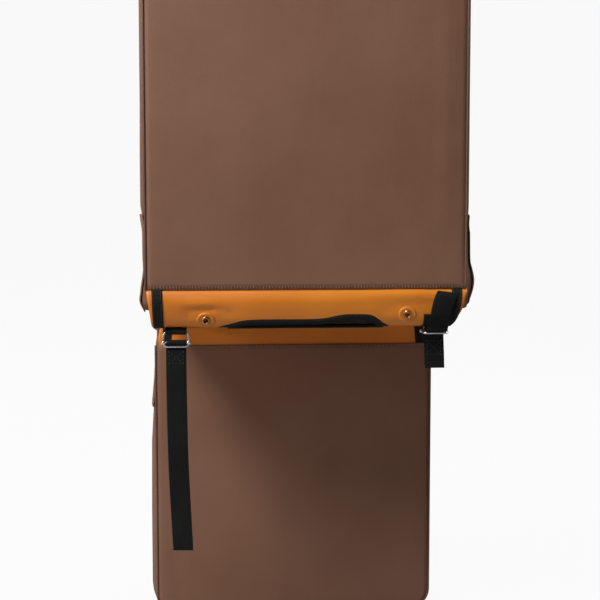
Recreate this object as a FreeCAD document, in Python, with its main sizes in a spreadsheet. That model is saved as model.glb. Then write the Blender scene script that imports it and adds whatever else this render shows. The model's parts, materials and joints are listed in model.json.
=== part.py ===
import FreeCAD, Part
import math
import os
import re
import Sketcher
from FreeCAD import Placement, Rotation, Vector

# A double pannier bag: two tarpaulin bags joined by a bridge that lies on a bicycle's rack.
# The near bag is folded up onto the rack, upside down, and the far bag hangs at the wheel.
# X runs along the bicycle, Y from the near side to the far side, Z up. The origin is the
# centre of the bridge's underside, which rests on the rack. Millimetres throughout.

SIZES = {
    # rack and bridge
    "rackWidth": 160,  # between the two fold lines
    "bridgeThickness": 2,
    "bridgeReach": 58,  # middle of the bridge to the panel's edge
    "foldBandStart": 46,
    "foldInset": 11,  # bag's side to the bridge's side
    "foldGap": 1.6,  # fold line to the cloth on either side
    "foldWeltRadius": 1.2,
    # hand grips cut out along the folds
    "gripHalfWidth": 82,  # at the fold
    "gripTopHalfWidth": 70,
    "gripHeight": 10.5,  # fold line to the grip's upper edge
    "gripCornerRadius": 5,
    "bindingWidth": 7,
    # cloth and boards
    "clothThickness": 1.4,
    "orangeThickness": 1.6,
    "liningThickness": 1,
    "boardThickness": 2,
    "boardInset": 8,
    "clearance": 0.3,  # between pieces that move past each other
    "seamGap": 0.1,  # between pieces that are sewn together
    # bag
    "bagWidth": 306,
    "bagHeight": 300,  # seam to bottom
    "bagDepth": 130,
    "hangerHeight": 36,  # fold line to seam
    "hangerInset": 3,  # bag's side to the hanger strip's side, at the seam
    "hangerLap": 12,
    "riserHeight": 20,  # seam to the back's upper edge, under the lid's hinge
    "rimDrop": 5,  # back's upper edge to the rim of the other walls
    "cornerRadius": 22,
    "pipingRadius": 1.5,
    "facingHeight": 12,
    # lid
    "lidThickness": 1.6,
    "lidGap": 1.4,  # hinge line to the lid's cloth
    "lidWeltRadius": 0.9,
    "flapLength": 150,
    "lidBendRadius": 7,
    "flapCornerRadius": 28,
    "earHeight": 92,
    "earGap": 0.5,
    "earCornerRadius": 18,
    "snapRadius": 8,
    "snapThickness": 0.5,
    "snapSpacing": 170,
    "snapDrop": 118,
    # eyelets in the hanger strips
    "eyeletSpacing": 190,
    "eyeletDrop": 9,
    "eyeletBore": 2.2,
    "eyeletBarrel": 2.9,
    "eyeletFlange": 4.4,
    "eyeletFlangeThickness": 0.6,
    "patchLength": 17,
    "patchHeight": 14,
    "patchCornerRadius": 6.6,
    "patchThickness": 0.8,
    # webbing
    "tapeWidth": 10,
    "tapeThickness": 0.8,
    "strapWidth": 20,
    "strapThickness": 1.1,
    "leftStrapInset": 18,  # bridge's side to the strap's middle
    "rightStrapInset": 17.5,
    "strapSeamInset": 8,  # the same where the right strap starts at the seam
    "strapFoldInset": 15,  # and just above the fold
    "strapInset": 5.6,  # fold line to the buckles' upper wires
    "strapDrop": 2.2,  # bridge's underside to the buckles' upper wires
    "tailDoubled": 24,
    "leftTailLength": 200,
    "rightTailLength": 36,
    # wire buckles
    "wireRadius": 1.1,
    "barRadius": 1.3,
    "barDrop": 10.1,  # upper wire to bar
    "knobRadius": 2,
    "knobLength": 3.4,
    "buckleWidth": 26,
    "buckleHeight": 17,
    "buckleCornerRadius": 3,
    "rightBuckleTilt": 78,  # degrees, drawn in under the bridge
}

# Heights and depths in the bag's own frame: the fold line is the origin, the bag hangs down,
# and +Y points away from the rack. Each is an expression on the sheet's sizes.
FOLD_HEIGHT = "bridgeThickness + orangeThickness / 2"
HALF = "bagWidth / 2"
FOLD_HALF = "(bagWidth / 2 - foldInset)"
HANGER_HALF = "(bagWidth / 2 - hangerInset)"
STRAP_PLACES = {
    "left": f"-({FOLD_HALF} - leftStrapInset)",
    "right": f"{FOLD_HALF} - rightStrapInset",
}
SEAM = "-hangerHeight"
RISER = "-(hangerHeight - riserHeight)"
RIM = "-(hangerHeight - riserHeight + rimDrop)"
BOTTOM = "-(hangerHeight + bagHeight)"
PANEL_BACK = "-(orangeThickness / 2 + clothThickness)"
PANEL_HALF = "bagWidth / 2 - 2 * pipingRadius - seamGap"
LINING_START = "(max(orangeThickness; boardThickness) - orangeThickness / 2)"
LINING_END = f"({LINING_START} + liningThickness)"
GUSSET_START = "(pipingRadius - clothThickness / 2 - orangeThickness / 2 + seamGap)"
GUSSET_END = "bagDepth - clothThickness / 2 - pipingRadius - seamGap"
INSIDE_HALF = "bagWidth / 2 - clothThickness"
HINGE_HEIGHT = f"({RISER} + clearance + lidThickness / 2)"
LID_TOP = f"({HINGE_HEIGHT} + lidThickness / 2)"
LID_UNDER = f"({HINGE_HEIGHT} - lidThickness / 2)"
LID_START = f"({LINING_END} + lidGap)"
LID_HALF = "bagWidth / 2 + earGap + lidThickness"
FLAP_INNER = "(bagDepth + 2 * snapThickness + clearance)"
SNAP_HEIGHT = f"({HINGE_HEIGHT} - snapDrop)"
STRAP_LINE = "-(rackWidth / 2 - strapInset)"
LOOP_INNER = "(wireRadius + clearance)"
LOOP_OUTER = "(wireRadius + clearance + strapThickness)"
TAIL_INNER = "(barRadius + clearance)"
TAIL_OUTER = "(barRadius + clearance + strapThickness)"

doc = FreeCAD.newDocument("pannier")
sheet = doc.addObject("Spreadsheet::Sheet", "Sizes")
for row, (alias, size) in enumerate(SIZES.items(), start=1):
    sheet.set(f"A{row}", alias)
    sheet.set(f"B{row}", str(size))
    sheet.setAlias(f"B{row}", alias)
doc.recompute()

nodes = []


def bound(text):
    """An expression with every size's name pointed at the sheet."""
    return re.sub(r"[A-Za-z]\w*", lambda m: f"Sizes.{m[0]}" if m[0] in SIZES else m[0], str(text))


def number(text):
    return float(sheet.evalExpression(str(text)))


def new_body(label, place=None, turn=None):
    """A sub-part's body; place holds expressions for X, Y and Z, turn is a Rotation."""
    body = doc.addObject("PartDesign::Body", label)
    body.Label = label
    if turn:
        body.Placement = Placement(Vector(), turn)
    for axis, text in zip("xyz", place or ()):
        body.setExpression(f"Placement.Base.{axis}", bound(text))
    nodes.append(body)
    return body


def new_sketch(body, plane, height):
    """A sketch parallel to one of the body's planes, at a height along +X, +Y or +Z."""
    sketch = body.newObject("Sketcher::SketchObject", f"{body.Name}_sketch")
    origin = next(f for f in body.Origin.OriginFeatures if f.Role == f"{plane}_Plane")
    sketch.AttachmentSupport = [(origin, "")]
    sketch.MapMode = "FlatFace"
    sign = "-" if plane == "XZ" else ""
    sketch.setExpression("AttachmentOffset.Base.z", bound(f"{sign}({height})"))
    return sketch


def fix(sketch, kind, where, text):
    """A dimension that follows an expression."""
    index = sketch.addConstraint(Sketcher.Constraint(kind, *where, number(text)))
    sketch.setExpression(f"Constraints[{index}]", bound(text))


def pin(sketch, shape, point, across, up):
    fix(sketch, "DistanceX", (-1, 1, shape, point), across)
    fix(sketch, "DistanceY", (-1, 1, shape, point), up)


def draw_corners(sketch, corners, closed=True):
    """Straight runs through the corners (across, up, radius); a corner with a radius is an arc."""
    count = len(corners)
    points = [Vector(number(c[0]), number(c[1]), 0) for c in corners]
    radii = [number(c[2]) if len(c) > 2 else 0 for c in corners]
    entries, exits, middles = [], [], []
    for i, corner in enumerate(points):
        back = (points[i - 1] - corner).normalize()
        ahead = (points[(i + 1) % count] - corner).normalize()
        half_turn = back.getAngle(ahead) / 2
        run = radii[i] / math.tan(half_turn) if radii[i] else 0
        entries.append(corner + back * run)
        exits.append(corner + ahead * run)
        inward = (back + ahead).normalize() if radii[i] else Vector()
        middles.append(corner + inward * (radii[i] / math.sin(half_turn) - radii[i]))
    spans = count if closed else count - 1
    lines = [
        sketch.addGeometry(Part.LineSegment(exits[i], entries[(i + 1) % count]))
        for i in range(spans)
    ]
    for i, corner in enumerate(corners):
        if not closed and i in (0, count - 1):
            line, end = (lines[0], 1) if i == 0 else (lines[-1], 2)
            pin(sketch, line, end, corner[0], corner[1])
            continue
        before, after = lines[i - 1], lines[i]
        if not radii[i]:
            sketch.addConstraint(Sketcher.Constraint("Coincident", before, 2, after, 1))
            pin(sketch, after, 1, corner[0], corner[1])
            continue
        arc = sketch.addGeometry(Part.Arc(entries[i], middles[i], exits[i]))
        starts_here = sketch.getPoint(arc, 1).distanceToPoint(entries[i]) < 1e-6
        first, last = (1, 2) if starts_here else (2, 1)
        sketch.addConstraint(Sketcher.Constraint("Tangent", before, 2, arc, first))
        sketch.addConstraint(Sketcher.Constraint("Tangent", after, 1, arc, last))
        fix(sketch, "Radius", (arc,), corner[2])
        mark = sketch.addGeometry(Part.Point(points[i]), True)
        sketch.addConstraint(Sketcher.Constraint("PointOnObject", mark, 1, before))
        sketch.addConstraint(Sketcher.Constraint("PointOnObject", mark, 1, after))
        pin(sketch, mark, 1, corner[0], corner[1])


def draw_circle(sketch, across, up, radius):
    circle = Part.Circle(Vector(number(across), number(up), 0), Vector(0, 0, 1), number(radius))
    index = sketch.addGeometry(circle)
    pin(sketch, index, 3, across, up)
    fix(sketch, "Radius", (index,), radius)


def draw(sketch, shapes):
    for shape in shapes:
        if isinstance(shape, list):
            draw_corners(sketch, shape)
        else:
            draw_circle(sketch, *shape)


def pad(body, plane, start, thickness, *shapes):
    """A layer of the body, from start along the plane's +X, +Y or +Z."""
    sketch = new_sketch(body, plane, start)
    draw(sketch, shapes)
    feature = body.newObject("PartDesign::Pad", f"{body.Name}_pad")
    feature.Profile = sketch
    feature.Reversed = plane == "XZ"
    feature.setExpression("Length", bound(thickness))
    return feature


def drill(body, plane, *shapes):
    """Holes through the whole body, both ways from its own plane."""
    sketch = new_sketch(body, plane, "0")
    draw(sketch, shapes)
    feature = body.newObject("PartDesign::Pocket", f"{body.Name}_holes")
    feature.Profile = sketch
    feature.Type = "ThroughAll"
    feature.Midplane = True
    return feature


def rod_section(across, up, radius, sides):
    """A many-sided section with its flats the radius away from the centre."""
    corners = []
    for i in range(sides):
        angle = math.tau * (i + 0.5) / sides
        reach = [round(f(angle) / math.cos(math.pi / sides), 6) for f in (math.cos, math.sin)]
        corners.append((f"{across} + {reach[0]} * {radius}", f"{up} + {reach[1]} * {radius}"))
    return corners


def sweep(body, plane, height, corners, closed, start, section):
    """A rod along a path; its section lies on the plane and height that start gives."""
    path = new_sketch(body, plane, height)
    draw_corners(path, corners, closed)
    profile = new_sketch(body, *start)
    draw_corners(profile, section)
    rod = body.newObject("PartDesign::AdditivePipe", f"{body.Name}_rod")
    rod.Profile = profile
    doc.recompute()
    rod.Spine = (path, [f"Edge{i}" for i in range(1, len(path.Shape.Edges) + 1)])
    return rod


def box_outline(left, low, right, high):
    return [(left, low), (right, low), (right, high), (left, high)]


def tub_outline(half, top, bottom, radius):
    """A panel with square upper corners and rounded lower ones."""
    return [(f"-({half})", top), (f"-({half})", bottom, radius), (half, bottom, radius), (half, top)]


def mirrored(corners):
    """The same outline on the other side of the middle."""
    return [(f"-({c[0]})", *c[1:]) for c in corners]


def hang(side):
    """Where a bag's own frame lies: the far bag hangs, the near bag is folded up and over."""
    if side == "far":
        return ("0", "rackWidth / 2", FOLD_HEIGHT), Rotation()
    return ("0", "-rackWidth / 2", FOLD_HEIGHT), Rotation(Vector(0, 1, 0), 180)


def hanger_outline():
    """The strip from the fold to the seam, with the hand grip cut into its fold edge."""
    right = [
        (HANGER_HALF, SEAM),
        (FOLD_HALF, "-foldGap"),
        ("gripHalfWidth", "-foldGap", "gripCornerRadius"),
        ("gripTopHalfWidth", "-gripHeight", "gripCornerRadius"),
    ]
    lap = f"{SEAM} - hangerLap"
    return [(f"-{HANGER_HALF}", lap), (HANGER_HALF, lap)] + right + mirrored(right)[::-1]


def make_hanger(side):
    """The orange strip that carries a bag, with its eyelets, edge tapes and grip binding."""
    place, turn = hang(side)
    eyelets = [(f"{sign}eyeletSpacing / 2", "-eyeletDrop") for sign in ("-", "")]
    strip_back = "-orangeThickness / 2"
    patch_back = "-(orangeThickness / 2 + patchThickness)"

    strip = new_body(f"{side}_hanger_strip", place, turn)
    holes = [(*eyelet, "eyeletBarrel + seamGap") for eyelet in eyelets]
    pad(strip, "XZ", strip_back, "orangeThickness", hanger_outline(), *holes)

    patches = new_body(f"{side}_eyelet_patches", place, turn)
    for across, up in eyelets:
        outline = [
            (f"{across} - patchLength / 2", f"{up} - patchHeight / 2", "patchCornerRadius"),
            (f"{across} + patchLength / 2", f"{up} - patchHeight / 2", "patchCornerRadius"),
            (f"{across} + patchLength / 2", f"{up} + patchHeight / 2", "patchCornerRadius"),
            (f"{across} - patchLength / 2", f"{up} + patchHeight / 2", "patchCornerRadius"),
        ]
        hole = (across, up, "eyeletBarrel + seamGap")
        pad(patches, "XZ", patch_back, "patchThickness", outline, hole)

    rings = new_body(f"{side}_eyelets", place, turn)
    layers = [
        (f"{patch_back} - eyeletFlangeThickness", "eyeletFlangeThickness", "eyeletFlange"),
        (patch_back, "patchThickness + orangeThickness", "eyeletBarrel"),
        ("orangeThickness / 2", "eyeletFlangeThickness", "eyeletFlange"),
    ]
    for start, thickness, radius in layers:
        circles = [(*eyelet, r) for eyelet in eyelets for r in (radius, "eyeletBore")]
        pad(rings, "XZ", start, thickness, *circles)

    tapes = new_body(f"{side}_edge_tapes", place, turn)
    tape = box_outline(
        f"{FOLD_HALF} - tapeWidth", f"{SEAM} + seamGap", FOLD_HALF, "-(foldGap + clearance)"
    )
    tape_back = "-(orangeThickness / 2 + tapeThickness)"
    pad(tapes, "XZ", tape_back, "tapeThickness", tape, mirrored(tape))

    binding = new_body(f"{side}_grip_binding", place, turn)
    slope = "(gripHalfWidth - gripTopHalfWidth) / (gripHeight - foldGap)"
    low_half = f"gripTopHalfWidth + {slope} * bindingWidth - 4 * clearance"
    upper = "-gripHeight + seamGap"
    right = [
        ("gripTopHalfWidth - 4 * clearance", upper, "gripCornerRadius"),
        (low_half, "-gripHeight + bindingWidth"),
    ]
    outline = right + mirrored(right)[::-1]
    pad(binding, "XZ", strip_back, "orangeThickness", outline)


def make_bag(side):
    """The bag's shell: panels sewn to a gusset with piped seams, lined and stiffened."""
    place, turn = hang(side)

    back = new_body(f"{side}_back_panel", place, turn)
    panel_bottom = f"{BOTTOM} + 2 * pipingRadius + seamGap"
    panel_radius = "cornerRadius - 2 * pipingRadius - seamGap"
    outline = tub_outline(PANEL_HALF, SEAM, panel_bottom, panel_radius)
    pad(back, "XZ", PANEL_BACK, "clothThickness", outline)

    front = new_body(f"{side}_front_panel", place, turn)
    outline = tub_outline(PANEL_HALF, RIM, panel_bottom, panel_radius)
    pad(front, "XZ", "bagDepth - clothThickness", "clothThickness", outline)

    gusset = new_body(f"{side}_gusset", place, turn)
    outer = tub_outline(HALF, RIM, BOTTOM, "cornerRadius")
    inner = tub_outline(
        INSIDE_HALF, RIM, f"{BOTTOM} + clothThickness", "cornerRadius - clothThickness"
    )
    pad(gusset, "XZ", GUSSET_START, f"{GUSSET_END} - {GUSSET_START}", outer + inner[::-1])

    seams = {
        "back": (SEAM, f"{PANEL_BACK} + clothThickness / 2"),
        "front": (RIM, "bagDepth - clothThickness / 2"),
    }
    for which, (top, depth) in seams.items():
        piping = new_body(f"{side}_{which}_piping", place, turn)
        radius = "cornerRadius - pipingRadius"
        path = tub_outline(f"{HALF} - pipingRadius", top, f"{BOTTOM} + pipingRadius", radius)
        section = rod_section(f"-({HALF} - pipingRadius)", depth, "pipingRadius", 8)
        sweep(piping, "XZ", depth, path, False, ("XY", top), section)

    lining = new_body(f"{side}_back_lining", place, turn)
    outline = tub_outline(
        f"{INSIDE_HALF} - seamGap",
        RISER,
        f"{BOTTOM} + clothThickness + seamGap",
        "cornerRadius - clothThickness - seamGap",
    )
    pad(lining, "XZ", LINING_START, "liningThickness", outline)

    board = new_body(f"{side}_back_board", place, turn)
    half = f"{PANEL_HALF} - boardInset"
    top = f"{SEAM} - hangerLap - clearance"
    outline = tub_outline(half, top, f"{BOTTOM} + boardInset", "cornerRadius - boardInset")
    pad(board, "XZ", "-orangeThickness / 2", "boardThickness", outline)

    base = new_body(f"{side}_bottom_board", place, turn)
    half = f"{HALF} - cornerRadius"
    outline = box_outline(
        f"-({half})", f"{LINING_END} + clearance", half, f"{GUSSET_END} - clearance"
    )
    pad(base, "XY", f"{BOTTOM} + clothThickness", "boardThickness", outline)

    facing = new_body(f"{side}_mouth_facing", place, turn)
    outer = box_outline(f"-({INSIDE_HALF})", LINING_END, INSIDE_HALF, GUSSET_END)
    half = f"{INSIDE_HALF} - liningThickness"
    inner = box_outline(
        f"-({half})", f"{LINING_END} + liningThickness", half, f"{GUSSET_END} - liningThickness"
    )
    pad(facing, "XY", f"{RIM} - facingHeight", "facingHeight", outer, inner)

    make_snaps(f"{side}_bag_snaps", place, turn, "bagDepth")


def make_snaps(label, place, turn, start):
    """A pair of flat magnetic snaps."""
    snaps = new_body(label, place, turn)
    discs = [(f"{sign}snapSpacing / 2", SNAP_HEIGHT, "snapRadius") for sign in ("-", "")]
    pad(snaps, "XZ", start, "snapThickness", *discs)


def make_lid(side):
    """The lid: one cloth bent over the mouth, two side ears, a stiffener and its snaps."""
    place, turn = hang(side)

    cloth = new_body(f"{side}_lid_panel", place, turn)
    flap_outer = f"{FLAP_INNER} + lidThickness"
    flap_low = f"{LID_TOP} - flapLength"
    profile = [
        (LID_START, LID_TOP),
        (LID_START, LID_UNDER),
        (FLAP_INNER, LID_UNDER, "lidBendRadius - lidThickness"),
        (FLAP_INNER, flap_low),
        (flap_outer, flap_low),
        (flap_outer, LID_TOP, "lidBendRadius"),
    ]
    sheet_pad = pad(cloth, "YZ", f"-({LID_HALF})", f"2 * ({LID_HALF})", profile)
    doc.recompute()
    low = number(flap_low)
    corners = [
        f"Edge{i}"
        for i, edge in enumerate(sheet_pad.Shape.Edges, start=1)
        if edge.BoundBox.ZMax < low + 1e-3 and edge.BoundBox.XLength < 1e-3
    ]
    rounded = cloth.newObject("PartDesign::Fillet", f"{cloth.Name}_corners")
    rounded.Base = (sheet_pad, corners)
    rounded.setExpression("Radius", bound("flapCornerRadius"))

    welt = new_body(f"{side}_lid_welt", place, turn)
    half = f"({INSIDE_HALF} - seamGap)"
    pad(welt, "YZ", f"-{half}", f"2 * {half}", (LINING_END, HINGE_HEIGHT, "lidWeltRadius"))

    for which, start in (
        ("left", f"-({LID_HALF})"),
        ("right", f"{HALF} + earGap"),
    ):
        ear = new_body(f"{side}_lid_{which}_ear", place, turn)
        ear_low = f"{LID_TOP} - earHeight"
        profile = [
            (LID_START, LID_UNDER),
            (LID_START, ear_low, "earCornerRadius"),
            (f"{FLAP_INNER} - seamGap", ear_low),
            (f"{FLAP_INNER} - seamGap", LID_UNDER, "lidBendRadius - lidThickness + seamGap"),
        ]
        pad(ear, "YZ", start, "lidThickness", profile)

    board = new_body(f"{side}_lid_board", place, turn)
    half = f"{INSIDE_HALF} - liningThickness - boardInset / 2"
    outline = box_outline(
        f"-({half})",
        f"{LINING_END} + boardInset",
        half,
        "bagDepth - clothThickness - liningThickness - boardInset / 2",
    )
    pad(board, "XY", f"{LID_UNDER} - boardThickness", "boardThickness", outline)

    make_snaps(f"{side}_lid_snaps", place, turn, f"{FLAP_INNER} - snapThickness")


def make_bridge():
    """The orange panel on the rack, its doubled fold bands, welts and grip bindings."""
    bridge = new_body("bridge_panel")
    outline = box_outline(f"-{FOLD_HALF}", "-bridgeReach", FOLD_HALF, "bridgeReach")
    pad(bridge, "XY", "0", "bridgeThickness", outline)

    binding = new_body("bridge_grip_bindings")
    half = "gripTopHalfWidth + gripCornerRadius"
    strip = box_outline(f"-({half})", "bridgeReach", half, "bridgeReach + bindingWidth")
    other = [(across, f"-({up})") for across, up in strip]
    pad(binding, "XY", "0", "bridgeThickness", strip, other)

    fold_edge = "rackWidth / 2 - foldGap"
    for side, sign in (("near", "-"), ("far", "")):
        bands = new_body(f"{side}_fold_bands")
        band = box_outline(
            "gripHalfWidth", f"{sign}foldBandStart", FOLD_HALF, f"{sign}({fold_edge})"
        )
        pad(bands, "XY", "bridgeThickness", "orangeThickness", band, mirrored(band))

    welts = new_body("fold_welts")
    lines = [(f"{sign}rackWidth / 2", FOLD_HEIGHT, "foldWeltRadius") for sign in ("-", "")]
    length = f"{FOLD_HALF} - gripHalfWidth"
    pad(welts, "YZ", "gripHalfWidth", length, *lines)
    pad(welts, "YZ", f"-{FOLD_HALF}", length, *lines)


def make_anchor_loop(side):
    """Webbing sewn under a fold band, looped round a buckle's upper wire."""
    loop = new_body(f"{side}_anchor_loop", (STRAP_PLACES[side], STRAP_LINE, "-strapDrop"))
    top = "strapDrop + bridgeThickness"
    tab_low = f"{top} - strapThickness"
    tab_end = "rackWidth / 2 - strapInset - bridgeReach - seamGap"
    bend = f"{LOOP_OUTER} - strapThickness - seamGap"
    profile = [
        ("-strapThickness", top),
        ("-strapThickness", LOOP_OUTER),
        (f"-{LOOP_OUTER}", LOOP_OUTER, bend),
        (f"-{LOOP_OUTER}", f"-{LOOP_OUTER}", bend),
        (LOOP_OUTER, f"-{LOOP_OUTER}", bend),
        (LOOP_OUTER, LOOP_OUTER, bend),
        ("strapThickness", LOOP_OUTER),
        ("strapThickness", tab_low),
        (tab_end, tab_low),
        (tab_end, top),
    ]
    pad(loop, "YZ", "-strapWidth / 2", "strapWidth", profile, ("0", "0", LOOP_INNER))


def make_buckle(side):
    """A wire frame and the loose bar that slides on its two side wires."""
    place = (STRAP_PLACES[side], STRAP_LINE, "-strapDrop")
    tilt = number("rightBuckleTilt") if side == "right" else 0
    turn = Rotation(Vector(1, 0, 0), tilt)
    half = "buckleWidth / 2 - wireRadius"
    low = "-(buckleHeight - 2 * wireRadius)"

    frame = new_body(f"{side}_buckle_frame", place, turn)
    bend = "buckleCornerRadius"
    path = [
        (f"-({half})", "0", bend),
        (f"-({half})", low, bend),
        (half, low, bend),
        (half, "0", bend),
    ]
    section = rod_section("0", "0", "wireRadius", 12)
    sweep(frame, "XZ", "0", path, True, ("YZ", "0"), section)

    bar = new_body(f"{side}_buckle_bar", place, turn)
    inner = f"{half} - knobLength / 2"
    pad(bar, "YZ", f"-({inner})", f"2 * ({inner})", ("0", "-barDrop", "barRadius"))
    for start in (f"-({inner}) - knobLength", inner):
        pad(bar, "YZ", start, "knobLength", ("0", "-barDrop", "knobRadius"))
    hole = "wireRadius + seamGap"
    drill(bar, "XY", (f"-({half})", "0", hole), (half, "0", hole))


def make_left_tail():
    """The long webbing: a sewn loop round the bar, then down behind the lower wire."""
    tail = new_body("left_tail", (STRAP_PLACES["left"], STRAP_LINE, "-(strapDrop + barDrop)"))
    bend = f"0.9 * {TAIL_OUTER}"
    doubled = f"{TAIL_OUTER} + strapThickness"
    profile = [
        (f"-{TAIL_OUTER}", TAIL_OUTER, bend),
        (f"-{TAIL_OUTER}", f"-{TAIL_OUTER}", bend),
        (TAIL_INNER, f"-{TAIL_OUTER}"),
        (TAIL_INNER, "-leftTailLength"),
        (TAIL_OUTER, "-leftTailLength"),
        (TAIL_OUTER, "-tailDoubled"),
        (doubled, "-tailDoubled"),
        (doubled, f"-{doubled}"),
        (TAIL_OUTER, f"-{TAIL_OUTER}"),
        (TAIL_OUTER, TAIL_OUTER, bend),
    ]
    pad(tail, "YZ", "-strapWidth / 2", "strapWidth", profile, ("0", "0", TAIL_INNER))


def make_right_tail():
    """The short webbing, doubled, straight down from its bar."""
    tilt = "rightBuckleTilt * 1 deg"
    place = (
        STRAP_PLACES["right"],
        f"{STRAP_LINE} + barDrop * sin({tilt})",
        f"-(strapDrop + barDrop * cos({tilt}))",
    )
    tail = new_body("right_tail", place)
    bend = f"0.9 * {TAIL_OUTER}"
    right = [
        (TAIL_OUTER, TAIL_OUTER, bend),
        (TAIL_OUTER, f"-{TAIL_OUTER}", bend),
        ("strapThickness", f"-{TAIL_OUTER}"),
        ("strapThickness", "-rightTailLength"),
    ]
    profile = right + mirrored(right)[::-1]
    pad(tail, "YZ", "-strapWidth / 2", "strapWidth", profile, ("0", "0", TAIL_INNER))


def make_right_strap():
    """The strap sewn in at the near seam, slanting down over the strip to the fold."""
    place, turn = hang("near")
    strap = new_body("right_strap_upper", place, turn)
    seam_end = f"{SEAM} + clearance"
    fold_end = "-(foldGap + strapWidth / 5)"
    seam_place = f"{FOLD_HALF} - strapSeamInset"
    fold_place = f"{FOLD_HALF} - strapFoldInset"
    outline = [
        (f"-({seam_place} + strapWidth / 2)", seam_end),
        (f"-({seam_place} - strapWidth / 2)", seam_end),
        (f"-({fold_place} - strapWidth / 2)", fold_end),
        (f"-({fold_place} + strapWidth / 2)", fold_end),
    ]
    back = "-(orangeThickness / 2 + tapeThickness + strapThickness)"
    pad(strap, "XZ", back, "strapThickness", outline)


def check_and_write():
    """Stops on any failed object, then writes each sub-part's shape to its own file."""
    doc.recompute()
    for obj in doc.Objects:
        if "Invalid" in obj.State or "Error" in obj.State:
            raise RuntimeError(f"{obj.Label} failed: {obj.State}")
    os.makedirs("parts", exist_ok=True)
    for node in nodes:
        shape = node.Shape
        if shape.isNull() or not shape.isValid() or not shape.Solids:
            raise RuntimeError(f"{node.Label} has no valid solid")
        shape.exportStep(f"parts/{node.Label}.step")
        box = shape.BoundBox
        print(
            f"{node.Label:24} {len(shape.Solids)} solids, {shape.Volume:9.0f} mm3, "
            f"x {box.XMin:.1f} to {box.XMax:.1f}, y {box.YMin:.1f} to {box.YMax:.1f}, "
            f"z {box.ZMin:.1f} to {box.ZMax:.1f}"
        )


make_bridge()
for bag_side in ("near", "far"):
    make_hanger(bag_side)
    make_bag(bag_side)
    make_lid(bag_side)
for strap_side in ("left", "right"):
    make_anchor_loop(strap_side)
    make_buckle(strap_side)
make_left_tail()
make_right_tail()
make_right_strap()
check_and_write()
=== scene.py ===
import json
import math

import bmesh
import bpy
import numpy as np
from mathutils import Matrix, Vector


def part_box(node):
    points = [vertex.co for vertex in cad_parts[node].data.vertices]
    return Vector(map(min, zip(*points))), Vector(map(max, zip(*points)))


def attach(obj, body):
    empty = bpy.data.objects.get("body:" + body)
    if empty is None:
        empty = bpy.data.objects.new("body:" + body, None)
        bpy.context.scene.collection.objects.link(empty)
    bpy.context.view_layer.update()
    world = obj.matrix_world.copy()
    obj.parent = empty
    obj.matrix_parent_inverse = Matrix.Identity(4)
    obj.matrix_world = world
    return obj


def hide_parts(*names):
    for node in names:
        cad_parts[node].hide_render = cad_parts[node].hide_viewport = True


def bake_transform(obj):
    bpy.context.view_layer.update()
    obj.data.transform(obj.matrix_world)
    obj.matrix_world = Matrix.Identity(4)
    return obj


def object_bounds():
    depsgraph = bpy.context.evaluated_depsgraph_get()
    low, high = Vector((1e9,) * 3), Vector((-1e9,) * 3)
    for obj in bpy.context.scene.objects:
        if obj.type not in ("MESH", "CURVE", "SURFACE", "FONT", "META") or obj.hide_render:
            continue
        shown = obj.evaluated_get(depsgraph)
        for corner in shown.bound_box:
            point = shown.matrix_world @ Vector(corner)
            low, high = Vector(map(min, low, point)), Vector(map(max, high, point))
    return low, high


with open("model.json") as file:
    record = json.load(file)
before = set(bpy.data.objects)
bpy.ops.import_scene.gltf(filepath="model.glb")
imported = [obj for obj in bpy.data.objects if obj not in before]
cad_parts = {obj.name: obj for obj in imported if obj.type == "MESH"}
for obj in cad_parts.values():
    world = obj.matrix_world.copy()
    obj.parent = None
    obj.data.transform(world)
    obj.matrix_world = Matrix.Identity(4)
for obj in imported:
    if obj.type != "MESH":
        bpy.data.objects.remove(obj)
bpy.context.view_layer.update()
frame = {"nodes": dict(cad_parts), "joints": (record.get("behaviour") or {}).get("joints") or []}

# Each bag is made in its own frame, hung from its fold line: X across, Y away from the
# rack, Z up. The near bag's frame is turned half round, because that bag is folded up.
joints = {joint["name"]: joint for joint in frame["joints"]}
foldPlace = {side: Vector(joints[f"{side}_bag_fold"]["pos_m"]) for side in ("near", "far")}
hang = {
    "near": Matrix.Translation(foldPlace["near"]) @ Matrix.Rotation(math.pi, 4, "Y"),
    "far": Matrix.Translation(foldPlace["far"]),
}
# both sides of the far bag, for tables in which they are alike
farSides = [("far", -1), ("far", 1)]


def ownBox(side, node):
    corners = [hang[side].inverted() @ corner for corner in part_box(f"{side}_{node}")]
    return [Vector(pick(c[i] for c in corners) for i in range(3)) for pick in (min, max)]


def placed(side, points):
    turn = np.array(hang[side])
    return np.asarray(points, float) @ turn[:3, :3].T + turn[:3, 3]


# ---- shader maths


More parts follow.
